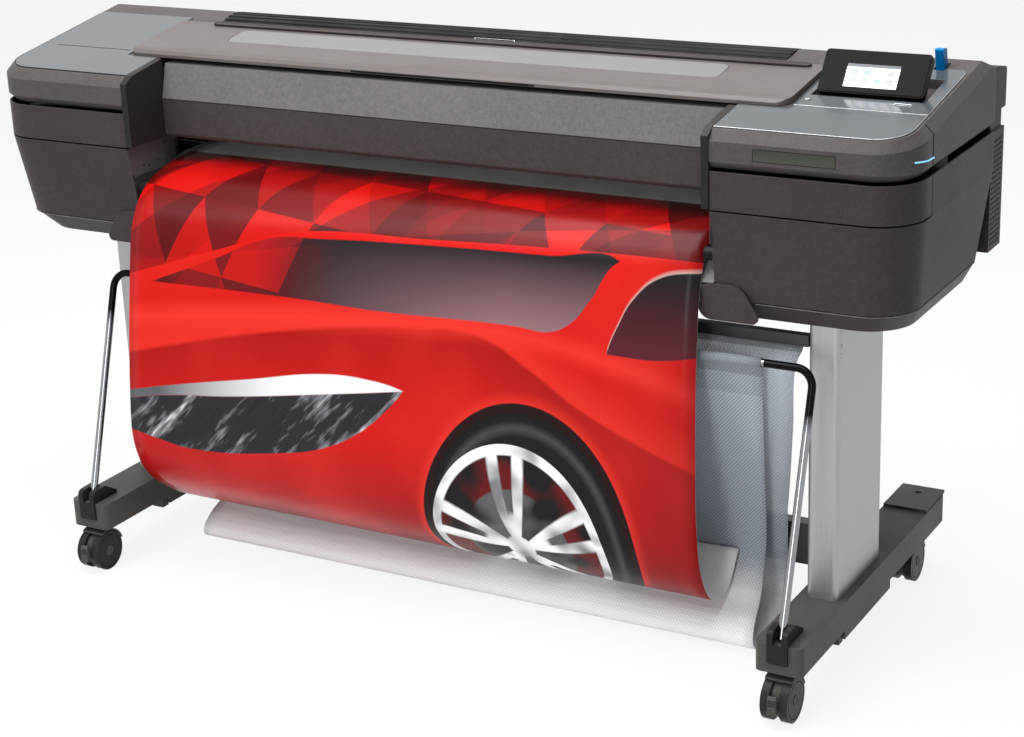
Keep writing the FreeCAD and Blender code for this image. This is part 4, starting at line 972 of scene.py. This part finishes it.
def addScreen():
    normal, side, up, level, low, high = glassPlane()
    left, right = (low[0] + (high[0] - low[0]) * screenSet[key] for key in ("left", "right"))
    bottom, top = (low[1] + (high[1] - low[1]) * screenSet[key] for key in ("low", "high"))
    bpy.ops.mesh.primitive_plane_add(size=1)
    piece = bpy.context.object
    centre = side * (left + right) / 2 + up * (bottom + top) / 2 + normal * (level + screenSet["proud"])
    turn = Matrix((side, up, normal)).transposed().to_4x4()
    size = Matrix.Diagonal((right - left, top - bottom, 1, 1))
    piece.matrix_world = Matrix.Translation(centre) @ turn @ size
    bpy.ops.object.transform_apply(location=True, rotation=True, scale=True)
    bpy.ops.object.mode_set(mode="EDIT")
    bpy.ops.mesh.select_all(action="SELECT")
    bpy.ops.mesh.inset(thickness=0.0006, depth=0.0001)
    settle(piece, "lit_screen", "display", makeScreen())


addScreen()
print("screen lit")


# trim, seams and small parts

# the sloping top, and the outline of the housings, as the CAD part has them
roofLine = {"level": 0.936, "front": -0.205, "slope": 0.158}

housing = {
    "outer": 0.901, "front": -0.222, "corner": 0.077, "leftInner": 0.588, "rightInner": 0.572,
    "doorRear": -0.124, "trimTop": 0.655, "trimInset": 0.014, "trimForward": 0.024, "trimRear": 0.147,
    "trimStart": 0.07, "tierLow": 0.886, "shoulder": 0.015, "panelInset": 0.020, "panelFront": -0.204,
    "panelCorner": 0.056, "panelRear": 0.086,
}

housingSides = (("left", -1, housing["leftInner"]), ("right", 1, housing["rightInner"]))

trimMetal = metal("trimSilver", tone(188, 190, 192), rough=0.25, depth=0.00001, edgeWearAndHighlight=0.1)
seamDark = plastic("seamDark", tone(14, 13, 13), rough=0.6, depth=0.00002, edgeWearAndHighlight=0.0, dust=0.0)
# pale plastic for a painted highlight line under the trim seam
edgePale = plastic("edgePale", tone(140, 136, 133), rough=0.4, depth=0.00002, edgeWearAndHighlight=0.0)
plateGrey = plastic("plateGrey", tone(66, 68, 62), rough=0.4, grain=900, depth=0.00003, contrast=0.05,
                    radius=0.0003, edgeWearAndHighlight=0.0, dust=0.0)
innerGrey = plastic("innerGrey", tone(84, 82, 81), rough=0.4, grain=700, depth=0.00004, contrast=0.08)


def roof(y):
    return roofLine["level"] + roofLine["slope"] * (y - roofLine["front"])


def onRoof(piece, y, over=0.0):
    # leans a piece modelled flat about its own Y to lie on the sloping top
    if piece.mode == "EDIT":
        bpy.ops.object.mode_set(mode="OBJECT")
    piece.location = (0, y, roof(y) + over)
    piece.rotation_euler = (math.atan(roofLine["slope"]), 0, 0)


def roofSpots(spots, over=0.0):
    # (x, y) spots laid on the sloping top
    return [(x, y, roof(y) + over) for x, y in spots]


rimSet = {"left": -0.574, "right": 0.633, "y": 0.0535, "depth": 0.015, "height": 0.003, "over": 0.010}


def addRim():
    low = (rimSet["left"], -rimSet["depth"] / 2, rimSet["over"] - 0.001)
    high = (rimSet["right"], rimSet["depth"] / 2, rimSet["over"] + rimSet["height"])
    piece = startBlock(low, high)
    pick(piece, "EDGE", lambda edge: abs(edge.verts[0].co.z - edge.verts[1].co.z) > 0.001)
    bpy.ops.mesh.bevel(offset=rimSet["depth"] * 0.46, segments=6, affect="EDGES")
    sink(piece, (0, 0, 1), 0.0022, 0.0012, 0.0012)
    onRoof(piece, rimSet["y"])
    settle(piece, "lid_rim", "lid", finishes["body_plastic"])


lineSizes = {"seam": (0.0009, 0.0009), "silver": (0.0012, 0.0012), "wideSilver": (0.0024, 0.0008),
             "grip": (0.0010, 0.0034), "plateGap": (0.0006, 0.0006)}


def darkLine(name, points, body="printer", size="seam", closed=False):
    runs(name, points, lineSizes[size], body, seamDark, closed)


def silverLine(name, points, size="silver"):
    runs(name, points, lineSizes[size], "printer", trimMetal)


def bend(outer, front, radius, degrees):
    # (x, y) spots round a housing's front corner
    turns = [math.radians(angle) for angle in degrees]
    return [(outer - radius * (1 - math.sin(turn)), front + radius * (1 - math.cos(turn))) for turn in turns]


def cornerPath(sign, start, outer, front, radius, rear):
    # (x, y) spots from a place on the front, round the corner and back along the side
    spots = [(start, front)] + bend(outer, front, radius, range(0, 100, 10)) + [(outer, rear)]
    return [(sign * x, y) for x, y in spots]


def addSeams():
    top = housing["trimTop"]
    for side, sign, inner in housingSides:
        low = cornerPath(sign, inner + housing["trimStart"], housing["outer"] - housing["trimInset"],
                         housing["front"] + housing["trimForward"], housing["corner"], housing["trimRear"])
        darkLine(side + "_trim_seam", [(x, y, top) for x, y in low])
        # a pale line just under the trim seam: painted highlight where the edge catches the light
        runs(side + "_trim_painted_highlight", [(x, y, top - 0.0018) for x, y in low], lineSizes["seam"], "printer",
             edgePale)
        y = housing["doorRear"]
        x = housing["outer"] + 0.0002
        high = roof(y) - housing["shoulder"]
        darkLine(side + "_side_seam", [(sign * x, y, housing["tierLow"]), (sign * x, y, high),
                                       (sign * (x - housing["shoulder"]), y, roof(y) + 0.0002)])
        edge = cornerPath(sign, inner + 0.001, housing["outer"] - housing["panelInset"],
                          housing["panelFront"], housing["panelCorner"], housing["panelRear"])
        panelLine = silverLine if side == "right" else darkLine
        panelLine(side + "_panel_edge", roofSpots(edge, 0.0016), size="silver")


def addRoofLines():
    darkLine("rim_groove", roofSpots([(-0.566, 0.0435), (0.625, 0.0435)], 0.0102), "lid")
    silverLine("right_panel_silver", roofSpots([(0.663, -0.095), (0.880, -0.095)], 0.0022), "wideSilver")
    darkLine("left_panel_seam", roofSpots([(-0.847, -0.086), (-0.671, -0.086)], 0.0020))
    darkLine("fascia_seam", [(-0.573, -0.1242, 0.880), (0.557, -0.1242, 0.880)])
    grip = roof(-0.105) + 0.003
    darkLine("grip_gap", [(-0.165, -0.1051, grip), (0.200, -0.1051, grip)], "lid", "grip")


lightSet = {"degrees": (62, 69, 76, 83, 90), "proud": 0.0003, "rear": -0.121, "level": 0.902, "fall": 0.005,
            "size": (0.0014, 0.0024), "glow": 0.8}


def makeGlow():
    material, shader, place = newMaterial("statusLight")
    level = fade(noise(place, 60.0, 1.0), 0.2, 0.8)
    colour = mixed(level, tone(70, 170, 250), tone(150, 215, 255))
    return glowing(material, shader, colour, lightSet["glow"], 0.3)


def addStatusLight():
    outer = housing["outer"] + lightSet["proud"]
    spots = bend(outer, housing["front"], housing["corner"], lightSet["degrees"])
    spots.append((outer, lightSet["rear"]))
    fall = lightSet["fall"] / (len(spots) - 1)
    points = [(x, y, lightSet["level"] - fall * i) for i, (x, y) in enumerate(spots)]
    runs("status_light", points, lightSet["size"], "printer", makeGlow())


nameplateSet = {"left": 0.646, "right": 0.781, "low": 0.892, "high": 0.911, "proud": 0.0004}


def addNameplate():
    # a blank plate let into the front of the right tier
    left, right, low, high = (nameplateSet[key] for key in ("left", "right", "low", "high"))
    face = housing["front"] - nameplateSet["proud"]
    piece = startBlock((left, face, low), (right, housing["front"], high))
    sink(piece, (0, -1, 0), 0.0008, 0.0003, 0.0002)
    settle(piece, "nameplate", "printer", plateGrey)
    corners = [(left, face, low), (right, face, low), (right, face, high), (left, face, high)]
    darkLine("nameplate_gap", corners, size="plateGap", closed=True)


slotSet = {"left": 0.815, "right": 0.845, "y": -0.064, "half": 0.004, "height": 0.0012, "over": 0.002,
           "tongueInset": 0.0025, "tongue": (-0.0014, 0.0004, 0.0008), "tongueOver": 0.0022}


def addSlotFrame():
    # socket beside the silver line, sunk in a metal frame
    left, right, half = (slotSet[key] for key in ("left", "right", "half"))
    piece = startBlock((left, -half, 0.0), (right, half, slotSet["height"]))
    sink(piece, (0, 0, 1), 0.0014, 0.0003, 0.0010)
    onRoof(piece, slotSet["y"], slotSet["over"])
    settle(piece, "slot_frame", "printer", trimMetal)
    front, rear, height = slotSet["tongue"]
    inset = slotSet["tongueInset"]
    piece = startBlock((left + inset, front, 0.0), (right - inset, rear, height))
    softenEdges(0.0002, 1)
    onRoof(piece, slotSet["y"], slotSet["tongueOver"])
    settle(piece, "slot_tongue", "printer", seamDark)


innerSet = {
    "front": -0.219, "rear": -0.084, "low": 0.749, "high": 0.8055, "thick": 0.0004, "corner": 0.004,
    "holes": [(-0.211, 0.752), (-0.179, 0.765), (-0.165, 0.762), (-0.137, 0.767), (-0.112, 0.773),
              (-0.112, 0.795)],
    "holeRadius": 0.0019, "barPlace": (-0.193, 0.727), "barRadius": 0.011, "barLength": 0.0185,
    "barReach": 0.0098,
}


def addInnerPlates():
    # bare plates on the inner walls under the cheeks, with small holes drawn as flat dark discs of painted
    # shade, and the ends of the guide's bar
    for side, sign, inner in housingSides:
        face = inner - innerSet["thick"]
        x = sorted((sign * inner, sign * face))
        piece = startBlock((x[0], innerSet["front"], innerSet["low"]),
                           (x[1], innerSet["rear"], innerSet["high"]))
        pick(piece, "EDGE", lambda edge: abs(edge.verts[0].co.x - edge.verts[1].co.x) > 0.0001)
        bpy.ops.mesh.bevel(offset=innerSet["corner"], segments=3, affect="EDGES")
        settle(piece, side + "_inner_plate", "printer", innerGrey)
        for i, (y, z) in enumerate(innerSet["holes"]):
            # each hole is a flat dark disc: painted shade in place of an open hole
            piece = startDisc((sign * face, y, z), innerSet["holeRadius"], innerSet["thick"], "X", 16)
            sink(piece, (1, 0, 0), 0.0004, both=True)
            settle(piece, f"{side}_plate_hole_{i + 1}", "printer", seamDark)
        centre = (sign * (inner - innerSet["barReach"]), *innerSet["barPlace"])
        piece = startDisc(centre, innerSet["barRadius"], innerSet["barLength"], "X", 36)
        sink(piece, (1, 0, 0), 0.0030, 0.0006, 0.0020, both=True)
        settle(piece, side + "_guide_end", "printer", finishes["black_plastic"])


latchSet = {
    "left": -0.0285, "right": 0.0525, "front": (0.0770, 0.9716), "rear": (0.0962, 0.9847),
    "size": (0.0014, 0.0008),
    "clips": {"left": (-0.5635, -0.5815), "right": (0.5475, 0.5655)}, "clipLine": (0.0862, 0.9802),
    "clipSize": (0.0052, 0.0030),
}


def addLatchTrim():
    # a bright line round the latch, and a metal clip at each end of the roll cover's front edge
    left, right, front, rear = (latchSet[key] for key in ("left", "right", "front", "rear"))
    corners = [(left, *front), (right, *front), (right, *rear), (left, *rear)]
    runs("latch_edge", corners, latchSet["size"], "cover_latch", trimMetal, closed=True)
    for side, ends in latchSet["clips"].items():
        line = [(x, *latchSet["clipLine"]) for x in ends]
        runs(side + "_cover_clip", line, latchSet["clipSize"], "roll_cover", trimMetal)


screwSet = {"middle": 0.0384, "reach": 0.7305, "y": -0.150, "levels": (0.568, 0.584), "radius": 0.0036,
            "height": 0.0014}


def addScrews():
    for side, sign in (("left", -1), ("right", 1)):
        x = screwSet["middle"] + sign * screwSet["reach"]
        for i, z in enumerate(screwSet["levels"]):
            piece = startDisc((x, screwSet["y"], z), screwSet["radius"], screwSet["height"], "X", 24)
            sink(piece, (1, 0, 0), 0.0012, 0.0003, 0.0005, both=True)
            settle(piece, f"{side}_column_screw_{i + 1}", "printer", finishes["zinc_steel"])


# fields of vent holes: rows are how many along each axis, 0 for X, 1 for Y and 2 for Z
grilles = {
    "rear_grille": {"axis": "Y", "towards": (0, 1, 0), "radius": 0.0032, "rim": 0.0008, "pitch": 0.0125,
                    "rows": ((0, 17), (2, 9))},
    "side_grille": {"axis": "X", "towards": (1, 0, 0), "radius": 0.0024, "rim": 0.0006, "pitch": 0.0088,
                    "rows": ((1, 6), (2, 21))},
}


def addGrilles():
    # holes on the rear box's back and outer side, each field from one disc; the holes are flat dark discs,
    # painted shade in place of open holes
    low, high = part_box("electronics_box")
    starts = {"rear_grille": (low.x + 0.026, high.y - 0.0036, 0.745),
              "side_grille": (high.x, low.y + 0.009, 0.668)}
    for name, grille in grilles.items():
        piece = startDisc(starts[name], grille["radius"], 0.0006, grille["axis"], 12)
        sink(piece, grille["towards"], grille["rim"], both=True)
        bpy.ops.object.mode_set(mode="OBJECT")
        only(piece)
        for axis, count in grille["rows"]:
            copies = piece.modifiers.new("row", "ARRAY")
            copies.count = count
            copies.use_relative_offset = False
            copies.use_constant_offset = True
            copies.constant_offset_displace = [grille["pitch"] if i == axis else 0 for i in range(3)]
            bpy.ops.object.modifier_apply(modifier="row")
        # dark discs: painted shade where the vent holes are
        settle(piece, name, "printer", seamDark)


def addBar(name, low, high, rounding, body, finish):
    # a small block with softened edges
    piece = startBlock(low, high)
    softenEdges(rounding, 1)
    settle(piece, name, body, finish)


portSet = {"pins": (0.676, 0.683, 0.690), "pinHalf": 0.0012, "firstPort": 0.751, "portPitch": 0.026}


def addInletPins():
    for i, x in enumerate(portSet["pins"]):
        addBar(f"inlet_pin_{i + 1}", (x - portSet["pinHalf"], 0.246, 0.7005),
               (x + portSet["pinHalf"], 0.262, 0.7085), 0.0004, "printer", trimMetal)
    for i in range(3):
        left = portSet["firstPort"] + portSet["portPitch"] * i
        addBar(f"port_tongue_{i + 1}", (left + 0.002, 0.251, 0.701), (left + 0.014, 0.263, 0.7035), 0.0004,
               "printer", finishes["button_plastic"])


pedalSet = {"ribs": 3, "fromTop": 0.008, "pitch": 0.0042, "height": 0.0016, "inset": 0.0012, "proud": 0.0006,
            "sunk": 0.0008}


def addPedalRibs():
    inset = pedalSet["inset"]
    for side in ("left", "right"):
        low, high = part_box(f"front_{side}_brake_pedal")
        for i in range(pedalSet["ribs"]):
            z = high.z - pedalSet["fromTop"] - pedalSet["pitch"] * i
            addBar(f"{side}_pedal_rib_{i + 1}", (low.x + inset, low.y - pedalSet["proud"], z),
                   (high.x - inset, low.y + pedalSet["sunk"], z + pedalSet["height"]), 0.0003,
                   f"front_{side}_brake", finishes["black_plastic"])


addRim()
addLatchTrim()
addSeams()
addRoofLines()
addStatusLight()
addNameplate()
addSlotFrame()
addInnerPlates()
addScrews()
addGrilles()
addInletPins()
addPedalRibs()
print("trim made")


# hub discs of the caster wheels: one is modelled, the rest are copies

hubSet = {"radius": 0.0095, "depth": 0.0016, "inset": 0.0022}


def addHubs():
    first = None
    for place in ("front_left", "front_right", "rear_left", "rear_right"):
        low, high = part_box(place + "_caster_wheels")
        for side, x in (("outer", low.x), ("inner", high.x)):
            centre = Vector((x, (low.y + high.y) / 2, (low.z + high.z) / 2))
            if first is None:
                piece = startDisc((0, 0, 0), hubSet["radius"], hubSet["depth"], "X", 28)
                for sign in (-1, 1):
                    sink(piece, (sign, 0, 0), hubSet["inset"], 0.0005, 0.0005)
                bpy.ops.object.mode_set(mode="OBJECT")
                first = piece.copy()
                first.data = piece.data.copy()
            else:
                piece = first.copy()
                piece.data = first.data.copy()
                bpy.context.scene.collection.objects.link(piece)
            piece.location = centre
            settle(piece, f"{place}_hub_{side}", place + "_wheels", finishes["stand_plastic"])


addHubs()
print("hubs made")
